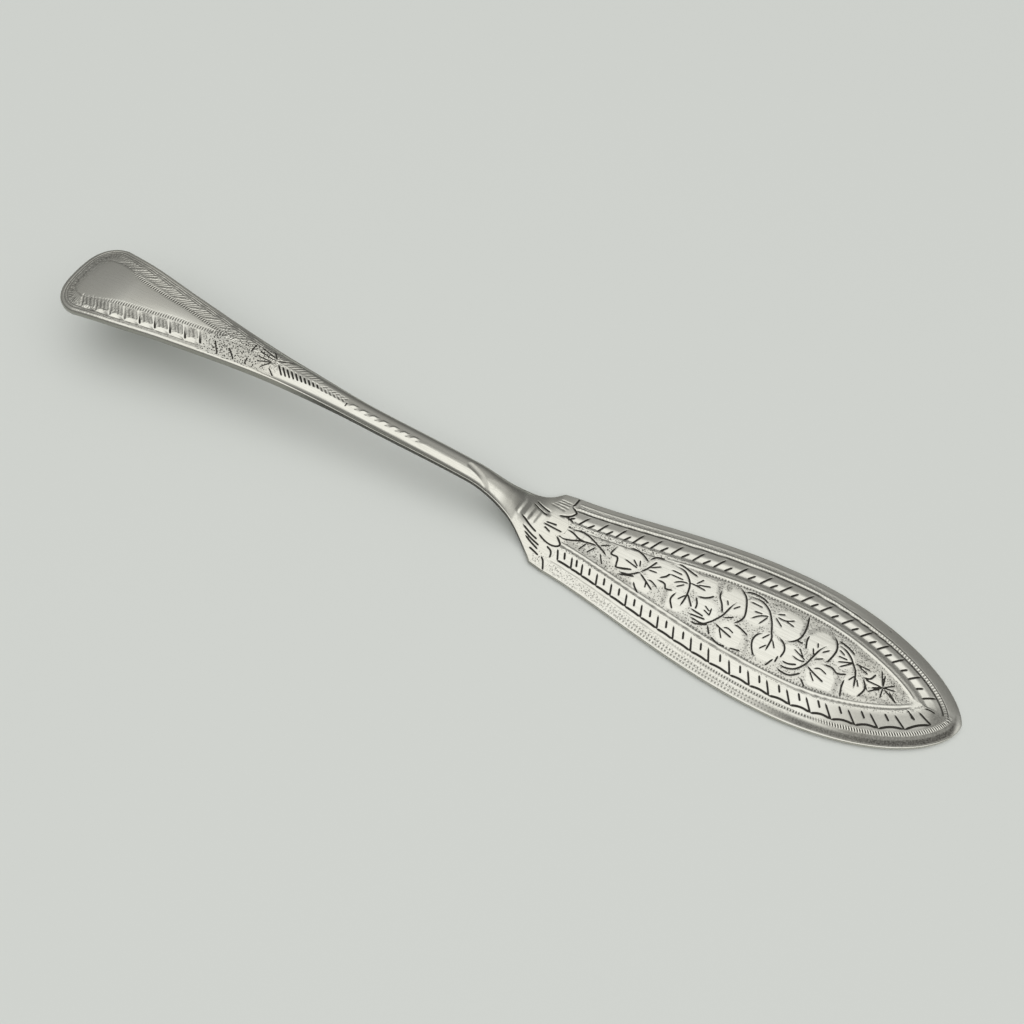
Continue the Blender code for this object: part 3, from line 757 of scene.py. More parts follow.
class Face:
    """Upper face of a forging: where each grid point lies, what graver and punch did to it, and painted
    shade.
    """

    def __init__(self, rows, x, y, outline):
        self.rows = rows
        self.x = x
        self.y = y
        self.outline = outline
        self.inset, self.station = nearest_on(outline.points, x, np.abs(y))
        self.rise = np.zeros(x.shape)
        self.depth = np.zeros(x.shape)
        # Tarnish, and painted shade on the stem, neck, near edge and far rim
        self.tarnish_and_shade = np.zeros(x.shape)
        self.stipple = np.zeros(x.shape)
        self.milling = np.zeros(x.shape)
        self.run = np.zeros(x.shape)
        self.ink = np.full(x.shape, NO_INK)
        # Painted shade on the points round each side of the forging
        self.side_shade = np.zeros((len(rows), SIDE_POINTS))

    def cut(self, points, width=0.40, depth=0.13, dark=0.95, start=0.30, end=0.12):
        """One graver stroke: a V along a smooth line, fine where it starts and blunt where it ends.

        A dark stroke leaves the distance from its edge, in half widths, which the material cuts off sharply.
        """
        line = smooth_line(points)
        margin = width + LOBE_REACH
        low, high = np.searchsorted(self.rows, (line[:, 0].min() - margin, line[:, 0].max() + margin))
        span = slice(low, high)
        reach, station = nearest_on(line, self.x[span], self.y[span])
        share = station / np.hypot(*np.diff(line, axis=0).T).sum()
        swell = np.clip((share + RUN_IN) / start, 0.0, 1.0) * np.clip((RUN_OUT - share) / end, 0.0, 1.0)
        half = 0.5 * width * between((FINEST, 1.0), swell)
        inside = np.clip(1.0 - reach / half, 0.0, 1.0)
        self.depth[span] = np.maximum(self.depth[span], depth * swell * inside)
        if dark >= INKED:
            self.ink[span] = np.maximum(self.ink[span], np.clip(swell - reach / half, NO_INK, 1.0))
        else:
            stained = dark * swell * np.clip(STROKE_STAIN * inside, 0.0, 1.0)
            self.tarnish_and_shade[span] = np.maximum(self.tarnish_and_shade[span], stained)

    def border_cut(self, side, begin, finish, bow=0.0, **style):
        """A stroke between two (station, inset) places, which follows the edge and may bow along it."""
        share = np.linspace(0.0, 1.0, STROKE_POINTS)
        station = between((begin[0], finish[0]), share) + bow * np.sin(np.pi * share)
        inset = between((begin[1], finish[1]), share)
        self.cut(self.outline.place(side, station, inset), **style)

    def row_of_cuts(self, count, first, pitch, length, shrink, foot, aim, **style):
        """Strokes at an even pitch from one foot line, all aimed alike, each shorter than the one before."""
        for number in range(count):
            start = first + pitch * number
            size = length - shrink * number
            self.cut((start, foot, start + aim[0] * size, foot + aim[1] * size), **style)

    def punch(self, where, pitch, radius, depth, dark):
        """Stipple: one round mark at a random place in each square of a net, as strong as the mask says."""
        column = np.floor(self.x / pitch).astype(int)
        row = np.floor(self.y / pitch).astype(int)
        count = (np.ptp(column) + 1, np.ptp(row) + 1, 2)
        shifts = np.random.default_rng(STIPPLE_SEED).uniform(*PUNCH_SHIFT, count)
        shift = shifts[column - column.min(), row - row.min()]
        gap = pitch * np.hypot(self.x / pitch - column - shift[..., 0], self.y / pitch - row - shift[..., 1])
        mark = hump(gap, 0.0, radius) * where
        self.depth = np.maximum(self.depth, depth * mark)
        self.stipple = np.maximum(self.stipple, dark * where)

    def mill(self, where, along, pitch, depth, dark):
        """Milled line: ticks across the band that the mask marks, at an even pitch along it."""
        run = along / pitch
        mark = np.clip(TICK_LEVEL - TICK_SWING * np.cos(2.0 * np.pi * run), 0.0, 1.0) * where
        self.depth = np.maximum(self.depth, depth * mark)
        self.milling = np.maximum(self.milling, dark * where)
        self.run = np.where(where > 0.0, run, self.run)

    def groove(self, where, depth, dark):
        """A groove whose section is the mask itself."""
        self.depth = np.maximum(self.depth, depth * where)
        self.stain_and_shade(dark * np.clip(GROOVE_STAIN * where, 0.0, 1.0))

    def stain_and_shade(self, amount):
        """Darkening at least as strong as the mask says: tarnish from most callers, painted shade from some.
        """
        self.tarnish_and_shade = np.maximum(self.tarnish_and_shade, amount)


def blade_face():
    """Grid of the blade's upper face: rows follow the scalloped root and crowd together at the tip."""
    even = np.arange(0.0, TIP - END_ZONE, BLADE_STEP)
    turn = np.linspace(0.0, LAST_TURN * np.pi / 2.0, END_STEPS)
    rows = np.concatenate([even, TIP - END_ZONE + END_ZONE * np.sin(turn)])
    across = np.linspace(-1.0, 1.0, BLADE_COLUMNS)
    fade = fall(0.0, LOBE_FADE, rows)
    x = rows[:, None] + (scallop(across) + SEAM)[None, :] * fade[:, None]
    half = blade_half_width(x)
    rounding = np.minimum(BLADE_ROUND, WIDEST_ROUND * half)
    along = np.concatenate([[-OVERRUN], np.linspace(0.0, TIP, OUTLINE_POINTS)])
    return Face(rows, x, (half - rounding) * across, Outline(along, blade_half_width)), half, rounding


def handle_face():
    """Grid of the handle's upper face, from its blunt end to the scalloped collar."""
    turn = np.linspace(np.pi / 2.0 * LAST_TURN, 0.0, END_STEPS)
    end = -HANDLE_LENGTH + END_ZONE - END_ZONE * np.sin(turn)
    even = np.arange(-HANDLE_LENGTH + END_ZONE + HANDLE_STEP, 0.0, HANDLE_STEP)
    wall = np.array([-POCKET_LENGTH - POCKET_WALL, -POCKET_LENGTH + POCKET_WALL])
    rows = np.sort(np.concatenate([end, even, wall, [0.0]]))
    even_share = np.linspace(-1.0, 1.0, HANDLE_COLUMNS)
    across = (1.0 - CROWDING) * even_share + CROWDING * np.sin(np.pi / 2.0 * even_share)
    fade = fall(0.0, LOBE_FADE, -rows)
    x = rows[:, None] + scallop(across)[None, :] * fade[:, None]
    half = handle_half_width(x)
    rounding = smooth_curve(HANDLE_ROUNDS, np.clip(-x, 0.0, HANDLE_LENGTH))
    rounding = np.minimum(rounding, WIDEST_ROUND * half)
    tail = -PADDLE_WIDEST - END_LENGTH * np.sin(np.pi / 2.0 * np.linspace(1.0, 0.0, TAIL_POINTS))
    along = np.concatenate([tail, np.linspace(-PADDLE_WIDEST, 0.0, OUTLINE_POINTS)[1:], [OVERRUN]])
    return Face(rows, x, (half - rounding) * across, Outline(along, handle_half_width)), half, rounding


def engrave_blade(face):
    """Bands of the rim and border, the inner ridge, the panel of ivy leaves, and the collar's lobes."""
    far_ridge = eased(FAR_RIDGE, FAR_RIDGE_ROOT, RIDGE_TIP, face.x)
    near_ridge = eased(NEAR_RIDGE, NEAR_RIDGE_ROOT, RIDGE_TIP, face.x)
    past_ridge = face.inset - np.where(face.y > 0.0, far_ridge, near_ridge)
    far = ramp(-SIDE_BLEND, SIDE_BLEND, face.y)
    root = ramp(*ROOT, face.x)
    engrave_far_rim(face, far, root)
    engrave_near_rim(face, 1.0 - far, root)
    engrave_far_border(face, far, root, past_ridge)
    engrave_near_border(face, 1.0 - far)
    engrave_ridge(face, far, root, past_ridge)
    engrave_panel(face, past_ridge)
    engrave_collar(face)


def engrave_far_rim(face, far, root):
    """Far rim: border line, milled rope that slopes to the near side, grained band, and painted shade
    outside.
    """
    inset, x = face.inset, face.x
    tipward = ramp(*TIPWARD, x)
    rooted = far * root
    grained = rooted * (1.0 - tipward)
    from_rope = inset - between(FAR_ROPE, tipward)
    half = between(ROPE_HALF, tipward)
    face.groove(hump(inset, between(FAR_LINE, tipward), LINE_HALF) * rooted, *LINE_GROOVE)
    face.groove(hump(from_rope, *ROPE_FOOT) * rooted * tipward, *ROPE_GROOVE)
    slope = 1.0 - np.clip((from_rope + half) / (2.0 * half), 0.0, 1.0)
    face.rise += ROPE_RISE * ramp(*ROPE_EDGE, from_rope + half) * slope * rooted
    face.rise += LIP_RISE * hump(inset, *GRAIN_LIP) * grained
    rope = np.sqrt(hump(from_rope, 0.0, half)) * rooted
    face.mill(rope * (1.0 + ROPE_GAIN * ramp(*ROPE_TIP, x)), face.station, *ROPE_MILL)
    face.punch(hump(inset, *FAR_GRAIN) * grained, *GRAIN_PUNCH)
    # Painted shade outside the rope, darker towards the tip, left off at the point where its highlight shows
    darkening = between(PAINTED_FAR_SHADE, ramp(*FAR_SHADE_GROWS, x)) * fall(*FAR_SHADE_EDGE, from_rope)
    face.stain_and_shade(darkening * far * (1.0 - POINT_PALE * ramp(*POINT_ZONE, x)))
    face.cut(SCAR_PLACE, **SCAR)


def engrave_near_rim(face, near, root):
    """Near rim: fine dotted rows over stipple, one bold milled row towards the tip, and the stain of wear."""
    inset, x, along = face.inset, face.x, face.station
    dotted = near * fall(*MILLED, x)
    grown = ramp(*ROWS_GROW, x)
    face.groove(hump(inset, *ROULETTE_LINE) * dotted * root, *ROULETTE_GROOVE)
    face.mill(hump(inset, *ROULETTE_BAND) * dotted * ramp(*ROULETTE_FROM, x), along, *ROULETTE_MILL)
    for place in NEAR_ROWS:
        row = hump(inset, place, ROW_HALF) * dotted * root * between(ROW_STRENGTH, grown)
        face.mill(row, along + place, *ROW_MILL)
    tip_row = hump(inset, *TIP_ROW) * near * ramp(*MILLED, x)
    blunt_row = tip_row ** TIP_ROW_BLUNT
    face.rise += TIP_ROW_RISE * tip_row
    face.mill(blunt_row, along + TIP_ROW_LEAN * inset, *TIP_MILL)
    rough = np.sqrt(hump(inset, *NEAR_ROUGH)) * dotted * root * between(ROUGH_STRENGTH, grown)
    face.punch(rough, *ROUGH_PUNCH)
    worn = sum(strength * window(inset, begin, end) * ramp(*zone, x) for begin, end, zone, strength in WORN)
    cut_band = ramp(*CUT_BAND_INSET, inset) * fall(*CUT_BAND_END, x)
    darkening = between(TIP_DULL, cut_band) * ramp(*TIP_DULL_FROM, x) * fall(*TIP_DULL_INSET, inset)
    shown = (1.0 - POINT_PALE * ramp(*POINT_ZONE, x)) * fall(*POINT_SIDE, face.y) * (1.0 - blunt_row)
    face.stain_and_shade(shown * np.maximum(worn, darkening))


def far_band_inner(x):
    """Inset of the far border's inner edge, which moves in from the root on."""
    return between(BAND_INNER, ramp(*INNER_GROWS, x))


def engrave_far_border(face, far, root, past_ridge):
    """Far border: a facet that slopes to the near side, stain beside it, and long and short cuts by turns."""
    inset, x = face.inset, face.x
    inner = far_band_inner(x)
    facet = np.clip((inset - BAND_TOP) / (inner - BAND_TOP), 0.0, 1.0)
    ridge_foot = inset - past_ridge + PANEL_STEP[1]
    face.rise -= root * far * FACET_DEPTH * facet * fall(inner, ridge_foot, inset)
    face.rise -= root * PANEL_DEPTH * ramp(*PANEL_STEP, past_ridge)
    outer = far * root * window(inset, *OUTER)
    lower = far * ramp(*LOWER_FROM, x) * ramp(*LOWER_EDGE, inset - inner) * fall(*LOWER_END, past_ridge)
    rootward = far * root * fall(*ROOTWARD, x) * ramp(*FACET_EDGE, inset) * (1.0 - facet)
    face.stain_and_shade(BAND_STAIN * np.maximum(outer, lower))
    face.stain_and_shade(ROOT_STAIN * rootward)
    stations = face.outline.station_at(np.array(FAR_CUTS), FAR_LINE[0])
    middles = np.concatenate([stations[:1] - FIRST_SHORT, 0.5 * (stations[1:] + stations[:-1])])
    for station, middle in zip(stations, middles):
        lean = FAR_LEAN + BELLY_LEAN * np.sin(np.pi * np.clip(station / LEAN_SPAN, 0.0, 1.0))
        low = far_band_inner(station)
        face.border_cut(1.0, (station, LONG_TOP), (station - lean, low + LONG_PAST), **LONG)
        begin = (middle - SHORT_LEAN * lean, SHORT_TOP)
        face.border_cut(1.0, begin, (middle - lean, low + SHORT_PAST), **SHORT)


def engrave_near_border(face, near):
    """Near border: long cuts, a short one between each two, and scoops from cut to cut on its line."""
    stations = face.outline.station_at(np.array(NEAR_CUTS), NEAR_LINE)
    shares = ramp(*NEAR_GROWS, stations)
    lows = between(NEAR_INNER, shares)
    for station, low, share in zip(stations, lows, shares):
        face.border_cut(-1.0, (station - between(NEAR_LEAN, share), low), (station, NEAR_LINE), **NEAR_LONG)
    run = np.linspace(0.0, 1.0, SCOOP_POINTS)
    for first, second, low, share in zip(stations[:-1], stations[1:], lows, shares):
        short = between((first, second), NEAR_SHORT_PLACE) - NEAR_SHORT_BACK
        begin = (short + NEAR_SHORT_FROM[0], low + NEAR_SHORT_FROM[1])
        face.border_cut(-1.0, begin, (short, low + NEAR_SHORT_TO), **NEAR_SHORT)
        bow = NEAR_LINE + between(SCOOP_BOWS, share ** 2) * np.sin(np.pi * run)
        face.cut(face.outline.place(-1.0, between((first, second), run), bow), **SCOOP)
    face.stain_and_shade(GREY_STAIN * hump(face.inset, *GREY_BAND) * near * ramp(*GREY_FROM, face.x))


def engrave_ridge(face, far, root, past_ridge):
    """Stippled strip outside the inner ridge, then the ridge itself, with a row of dots inside."""
    x = face.x
    near = 1.0 - far
    ends = root * fall(*RIDGE_END, x)
    wide = STRIP_WIDER * far * fall(*FAR_RIDGE_FROM, x)
    strip = ramp(*STRIP_EDGE, face.inset - far_band_inner(x)) * fall(*STRIP_END, past_ridge - wide)
    face.punch(strip * root * between(STRIP_STRENGTH, ramp(*STRIP_FADES, x)), *STRIP_PUNCH)
    face.groove(hump(past_ridge, *NEAR_FOOT) * near * ends, *NEAR_FOOT_GROOVE)
    face.groove(hump(past_ridge, *FAR_FOOT) * far * ends * fall(*FAR_FOOT_END, x), *FAR_FOOT_GROOVE)
    raised = near * hump(past_ridge, *NEAR_RIDGE_BAND)
    raised += far * hump(past_ridge, *FAR_RIDGE_BAND) * ramp(*FAR_RIDGE_FROM, x)
    face.rise += RIDGE_RISE * raised * ends
    face.mill(hump(past_ridge, *DOT_BAND) * window(x, *DOTTED), face.station, *DOT_MILL)


def engrave_panel(face, past_ridge):
    """Ivy leaves down the panel: shaded patches beside them, stippled ground, then the strokes."""
    panel = ramp(*PANEL_EDGE, past_ridge)
    shade = np.zeros(face.x.shape)
    for half, points in SHADES:
        reach = nearest_on(smooth_line(points), face.x, face.y)[0]
        shade = np.maximum(shade, fall(*SHADE_EDGE, reach / half))
    ground = panel * window(face.x, *GROUND)
    for middle_x, middle_y, radius in LOBES:
        reach = np.hypot(face.x - middle_x, face.y - middle_y)
        ground = np.minimum(ground, ramp(*LOBE_EDGE, reach / radius))
    ground *= between(GROUND_STRENGTH, ramp(*GROUND_FADES, face.x))
    face.punch(np.maximum(shade * panel, ground), *PANEL_PUNCH)
    face.stain_and_shade(panel * np.maximum(SHADE_STAIN * shade, GROUND_STAIN * ground))
    for points in LEAF_STROKES:
        face.cut(points, **BOLD)
    for points in LEAF_VEINS:
        face.cut(points, **FINE)
    for end in SPRAY_ENDS:
        face.cut((*SPRAY, *end), **FINE)


def engrave_collar(face):
    """Lobes and flutes of the collar and its stippled near corner, drawn on both sides of the joint."""
    for strokes, style in ((COLLAR_LOBES, LOBE), (COLLAR_FLUTES, FLUTE), (FAR_FLUTES, FAR_FLUTE)):
        for points in strokes:
            face.cut(points, **style)
    face.punch(hump(face.x, *CORNER_ALONG) * hump(face.y, *CORNER_ACROSS), *COLLAR_PUNCH)


def engrave_handle(face):
    """Paddle with its cartouche and cut bands, the stem's ornament, the collar, and shade painted on its
    sides.
    """
    far = ramp(-PADDLE_BLEND, PADDLE_BLEND, face.y)
    paddle = fall(*PADDLE_END, face.x)
    ended = fall(*BLUNT_END, face.x)
    chance = np.random.default_rng(STROKE_SEED)
    engrave_cartouche(face, far, paddle, ended)
    engrave_near_band(face, 1.0 - far, chance)
    engrave_far_band(face, far * paddle)
    engrave_blunt_end(face, ended, chance)
    engrave_turn(face)
    engrave_stem(face)
    engrave_collar(face)
    # Painted shade round the side faces, heaviest along the stem
    shade_along = eased(SIDE_SHADE_TONES, WALL_STEM, WALL_COLLAR, face.rows)
    face.side_shade = shade_along[:, None] * np.array(SIDE_PAINTED_SHADE)


def engrave_cartouche(face, far, paddle, ended):
    """Lines round the blunt end and far side, and the cartouche's edge: milled, but a line at the end."""
    for place in END_LINES:
        shown = np.maximum(ended, FAR_LINES_SHARE * far * paddle)
        face.groove(hump(face.inset, place, END_LINE_HALF) * shown, *END_GROOVE)
    reach, run = nearest_on(smooth_line(FRAME), face.x, face.y)
    face.groove(hump(reach, *FRAME_LINE) * ended, *FRAME_GROOVE)
    edge = hump(reach, *FRAME_BAND) ** FRAME_BLUNT * (1.0 - ended)
    face.mill(edge, run, *FRAME_MILL, between(FRAME_DARK, far))


def engrave_near_band(face, near, chance):
    """Near band of the paddle: units of hatching, a long cut where each begins and a bright scoop below it.

    Hatching and scoops repeat at one pitch and lean with the cuts. Speckle follows towards the stem.
    """
    x, inset = face.x, face.inset
    first, last = face.outline.station_at(np.array((BAND_FIRST, NEAR_LAST)), RIM_LINE)
    for number, station in enumerate(np.arange(first, last, CUT_PITCH / STROKES_PER_CUT)):
        outer, inner, strength = chance.uniform(HATCH_LEAST, HATCH_MOST)
        begin = (station - CUT_LEAN, outer)
        face.border_cut(-1.0, begin, (station - HATCH_BACK, inner), dark=strength, **HATCH)
        if number % STROKES_PER_CUT == 0:
            grown = (station - first) / (last - first)
            face.border_cut(-1.0, (station - CUT_LEAN, MAIN_FROM), (station, MAIN_TO),
                            width=between(MAIN_WIDTH, grown), dark=between(MAIN_DARK, grown), **MAIN)
    leaning = face.station - first + CUT_LEAN * (inset - SCOOP_INSET) / LEAN_DEPTH
    share = 2.0 * ((leaning / CUT_PITCH) % 1.0) - 1.0
    banded = near * ramp(*NEAR_BEGINS, face.station - first) * fall(*NEAR_ENDS, face.station - last)
    foot = SCOOP_INSET + SCOOP_BOW * (1.0 - share * share)
    inside = ramp(SCOOP_INSET - SCOOP_LIP, SCOOP_INSET, inset)
    face.rise -= SCOOP_DEPTH * banded * np.clip((foot - inset) / SCOOP_BOW, 0.0, 1.0) * inside
    hatched = banded * window(share, *UNIT) * ramp(*HATCH_FOOT, inset - foot)
    hatched *= fall(*HATCH_INSET, inset)
    speckled = near * window(x, *SPECKLED) * ramp(*SPECKLE_INSET, inset)
    face.stain_and_shade(HATCH_STAIN * hatched)
    face.stain_and_shade(DULL_STAIN * banded * ramp(*DULL_INSET, inset) * (1.0 - inside))
    face.stain_and_shade(SPECKLE_STAIN * speckled)
    face.punch(banded * np.maximum(hump(inset, *STIPPLE_BAND), hatched), *HATCH_PUNCH)
    face.punch(speckled, *SPECKLE_PUNCH)


def engrave_far_band(face, shown):
    """Far band of the paddle: groups of leaning strokes, lines along the edge outside them, and stipple."""
    first, last = face.outline.station_at(np.array((BAND_FIRST, FAR_LAST)), BAND_TOP)
    for station in np.arange(first, last, GROUP_PITCH):
        for step in LEAN_STEPS:
            along = (station + step, 0.0)
            face.border_cut(1.0, np.add(along, LEAN_FROM), np.add(along, LEAN_TO), **FAR_GROUP)
        for step in FLAT_STEPS:
            along = (station, step)
            face.border_cut(1.0, np.add(along, FLAT_FROM), np.add(along, FLAT_TO), **FAR_GROUP)
    face.punch(shown * hump(face.inset, *FAR_STIPPLE), *FAR_PUNCH)


def engrave_blunt_end(face, ended, chance):
    """Short ticks between the lines of the paddle's blunt end, over a close stipple."""
    face.punch(ended * hump(face.inset, *END_STIPPLE), *END_PUNCH)
    for side in (1.0, -1.0):
        for station in END_STATIONS:
            lean, inner, strength = chance.uniform(END_LEAST, END_MOST)
            face.border_cut(side, (station + lean, END_TOP), (station, inner), dark=strength, **END_TICK)


def engrave_turn(face):
    """Where paddle turns to stem: speckle over the whole width, and a few strokes."""
    face.punch(window(face.x, *TURN_ZONE) * hump(face.y, *TURN_BAND), *TURN_PUNCH)
    for points in TURN_STROKES:
        face.cut(points, **TURN)


def engrave_stem(face):
    """Star, herringbone, wheat-ear and flames on the stem, a low ridge, a stepped neck, painted shade on its
    far side.
    """
    x, y = face.x, face.y
    for points in STAR_RAYS:
        face.cut(points, **RAY)
    for row in STEM_ROWS:
        face.row_of_cuts(**row)
    wheat = hump(y, *WHEAT_BAND) * window(x, *WHEAT_ZONE)

    # Flames along the edge of the stem's bright side, each with a dark notch under its curl
    flames = np.zeros(x.shape)
    for middle in FLAME_FIRST + FLAME_PITCH * np.arange(FLAME_COUNT):
        lick = hump(x - FLAME_LEAN * (y - FLAME_FOOT), middle, FLAME_HALF) * hump(y, FLAME_FOOT, FLAME_HEIGHT)
        flames = np.maximum(flames, np.clip(FLAME_CRISP * lick, 0.0, 1.0))
        foot = (middle, FLAME_FOOT)
        face.cut((np.add(foot, NOTCH_FROM), np.add(foot, NOTCH_TO)), **NOTCH)
    face.rise += FLAME_RISE * flames * np.clip((y - FLAME_FOOT) / FLAME_HEIGHT, 0.0, 1.0)

    # A low ridge along the stem: its far facet looks away from the light
    from_ridge = y - between(RIDGE_PLACES, ramp(*RIDGE_MOVES, x))
    aside = 0.5 * (np.hypot(from_ridge, RIDGE_ROUND) + from_ridge)
    face.rise -= RIDGE_SLOPE * window(x, *RIDGE_ZONE) * RIDGE_REACH * np.tanh(aside / RIDGE_REACH)

    # Small terraces across the neck's foot, and the crease where the stem's bright side runs out
    face.rise += np.interp(x - NECK_LEAN * y, *np.array(NECK_STEPS).T) * window(y, *NECK_ACROSS)
    face.rise -= CREASE_DEPTH * fall(*CREASE_EDGE, nearest_on(smooth_line(NECK_CREASE), x, y)[0])

    # Painted shade on the stem's far side, round the flames, past the crease and on to the neck but for a
    # bright patch
    bright = fall(*BRIGHT_EDGE, y - np.interp(x, *np.array(PAINTED_SHADE_EDGE).T))
    beyond = x - PATCH_CORNER[0] + PATCH_LEAN * (y - PATCH_CORNER[1])
    below = PATCH_CORNER[1] + PATCH_SLOPE * (x - PATCH_CORNER[0]) - y
    patch = ramp(*PATCH_BACK, beyond) * ramp(*PATCH_TOP, below) * fall(*PATCH_END, x)
    darkening = 1.0 - np.maximum(np.maximum(flames, wheat), np.maximum(bright, patch))
    # A painted dark line of shade along the near edge of the upper face
    wall = ramp(*WALL_SIDE, -y) * fall(*WALL_INSET, face.inset)
    oval = hump(np.hypot(OVAL_SQUEEZE * (x - NECK_OVAL[0]), y - NECK_OVAL[1]), 0.0, OVAL_HALF)
    face.stain_and_shade(window(x, *STEM_ZONE) * np.maximum(STEM_PAINTED_SHADE * darkening, NEAR_EDGE_SHADE * wall))
    face.stain_and_shade(OVAL_STAIN * oval)


def edge_ring(face, z, half, rounding, under, pocket=None):
    """Rows of points right round the section: upper face, rounded edges, sides, rounded foot and underside.

    A rounded edge is a quarter circle from the face's own last column out to the side.
    """
    turn = np.linspace(0.0, np.pi / 2.0, EDGE_POINTS)[1:]
    low = under[:, None]
    sides = []
    for column, sign in ((-1, 1.0), (0, -1.0)):
        edge = half[:, column, None]
        radius = rounding[:, column, None]
        x = np.repeat(face.x[:, column, None], SIDE_POINTS, axis=1)
        foot = np.minimum(UNDER_BEVEL, WIDEST_ROUND * edge)
        top = z[:, column, None]
        round_out = edge - radius * (1.0 - np.sin(turn))
        round_down = top - radius * (1.0 - np.cos(turn))
        y = np.concatenate([round_out, edge, edge - FOOT_ROUND * foot, edge - foot], axis=1)
        high = np.concatenate([round_down, low + foot, low + FOOT_ROUND * foot, low], axis=1)
        sides.append(np.stack([x, sign * y, high], axis=2))
    first_half = half[:, :1]
    flat = (first_half - np.minimum(UNDER_BEVEL, WIDEST_ROUND * first_half)) * np.array(UNDER_SHARES)
    raised = np.repeat(low, len(UNDER_SHARES), axis=1)
    if pocket is not None:
        flat[pocket] = POCKET_HALF_WIDTH * np.array(POCKET_SHARES)
        raised[pocket, 1:-1] = POCKET_CEILING
    middle = np.repeat(face.x[:, face.x.shape[1] // 2, None], len(UNDER_SHARES), axis=1)
    upper = np.stack([face.x, face.y, z], axis=2)
    lower = np.stack([middle, flat, raised], axis=2)
    return np.concatenate([upper, sides[0], lower, sides[1][:, ::-1]], axis=1)


def forging(name, ring, face, extra_rows, material):
    """Closed mesh from rows of section points, with the marks of the upper face kept on its points.

    The ring of edges at the joint stays sharp, so that shading does not bend over it.
    """
    row_count, point_count = ring.shape[:2]
    i = np.arange(row_count - 1)[:, None] * point_count
    j = np.arange(point_count)[None, :]
    k = (j + 1) % point_count
    quads = np.stack([i + j, i + point_count + j, i + point_count + k, i + k], axis=2).reshape(-1, 4)
    first = list(range(point_count))
    last = list(range((row_count - 1) * point_count, row_count * point_count))[::-1]
    places = ring.reshape(-1, 3) * MM + np.array((SHOULDER, 0.0, 0.0))
    mesh = bpy.data.meshes.new(name)
    mesh.from_pydata(places.tolist(), [], quads.tolist() + [first, last])
    columns = face.x.shape[1]
    for mark in MARKS:
        values = np.full((row_count, point_count), NO_INK if mark == "ink" else 0.0, np.float32)
        values[extra_rows:, :columns] = getattr(face, mark)
        # Painted shade on the side faces goes in with the tarnish, lighter on the far side
        if mark == "tarnish_and_shade":
            values[extra_rows:, columns:columns + SIDE_POINTS] = FAR_SIDE_SHADE * face.side_shade
            values[extra_rows:, -SIDE_POINTS:] = face.side_shade[:, ::-1]
        mesh.attributes.new(mark, "FLOAT", "POINT").data.foreach_set("value", values.ravel())
    mesh.shade_smooth()
    ends = np.empty(len(mesh.edges) * 2, np.int32)
    mesh.edges.foreach_get("vertices", ends)
    edge_rows = ends.reshape(-1, 2) // point_count
    joint_row = extra_rows if extra_rows else row_count - 1
    mesh.edges.foreach_set("use_edge_sharp", (edge_rows == joint_row).all(axis=1))
    mesh.materials.append(material)
    piece = bpy.data.objects.new(name, mesh)
    bpy.context.scene.collection.objects.link(piece)
    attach(piece, "root")
    return piece


def make_blade(material):
    """Blade: crowned leaf with its tongue. Height is the edge plus a parabola of the width, less the cuts."""
    face, half, rounding = blade_face()
    engrave_blade(face)
    share = face.y / half
    base = EDGE_THICKNESS + BLADE_CROWN * half / (BELLY_WIDTH / 2.0) * (1.0 - share * share)
    z = base + face.rise - face.depth
    ring = edge_ring(face, z, half, rounding, np.zeros(len(face.rows)))
    columns = face.x.shape[1]
    tongue = ring[:1].copy()
    tongue[0, :columns, 1] = np.linspace(-TONGUE_HALF_WIDTH, TONGUE_HALF_WIDTH, columns)
    tongue[0, :columns, 2] = TONGUE_TOP
    down = np.linspace(TONGUE_TOP, TONGUE_LOW, SIDE_POINTS + 1)[1:]
    tongue[0, columns:columns + SIDE_POINTS, 1] = TONGUE_HALF_WIDTH
    tongue[0, columns:columns + SIDE_POINTS, 2] = down
    tongue[0, -SIDE_POINTS:, 1] = -TONGUE_HALF_WIDTH
    tongue[0, -SIDE_POINTS:, 2] = down[::-1]
    below = slice(columns + SIDE_POINTS, -SIDE_POINTS)
    tongue[0, below, 1] = TONGUE_HALF_WIDTH * np.linspace(TONGUE_FLAT, -TONGUE_FLAT, len(UNDER_SHARES))
    tongue[0, below, 2] = TONGUE_LOW
    tongue_end = tongue.copy()
    tongue_end[..., 0] = -TONGUE_LENGTH
    extra = np.concatenate([tongue_end, tongue])
    ring = np.concatenate([extra, ring])
    piece = forging("engraved_blade", ring, face, len(extra), material)
    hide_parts("blade")


def make_handle(material):
    """Handle: height is the side edge plus a crown, a parabola but for the stem's rounded box."""
    face, half, rounding = handle_face()
    engrave_handle(face)
    behind = np.clip(-face.x, 0.0, HANDLE_LENGTH)
    share = face.y / half
    narrowing = np.where(behind > PADDLE_WIDEST, half / (PADDLE_WIDTH / 2.0), 1.0)
    crown = smooth_curve(CROWNS, behind) * narrowing
    bulge = (1.0 - np.abs(share) ** smooth_curve(POWERS, behind)) ** smooth_curve(FALLS, behind)
    z = smooth_curve(EDGE_HEIGHTS, behind) + crown * bulge + face.rise - face.depth
    z = np.minimum(z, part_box("handle")[1].z / MM)
    row_behind = np.clip(-face.rows, 0.0, HANDLE_LENGTH)
    under = smooth_curve(EDGE_HEIGHTS, row_behind) - smooth_curve(SIDES, row_behind)
    ring = edge_ring(face, z, half, rounding, under, face.rows > -POCKET_LENGTH)
    piece = forging("engraved_handle", ring, face, 0, material)
    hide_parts("handle")


def bare_metal(name):
    """A metal's material, with its node tree, its shader and the object's own places."""
    material = bpy.data.materials.new(name)
    material.use_nodes = True
    tree = material.node_tree
    shader = tree.nodes["Principled BSDF"]
    shader.inputs["Metallic"].default_value = 1.0
    return material, tree, shader, node(tree, "TexCoord", "Object")


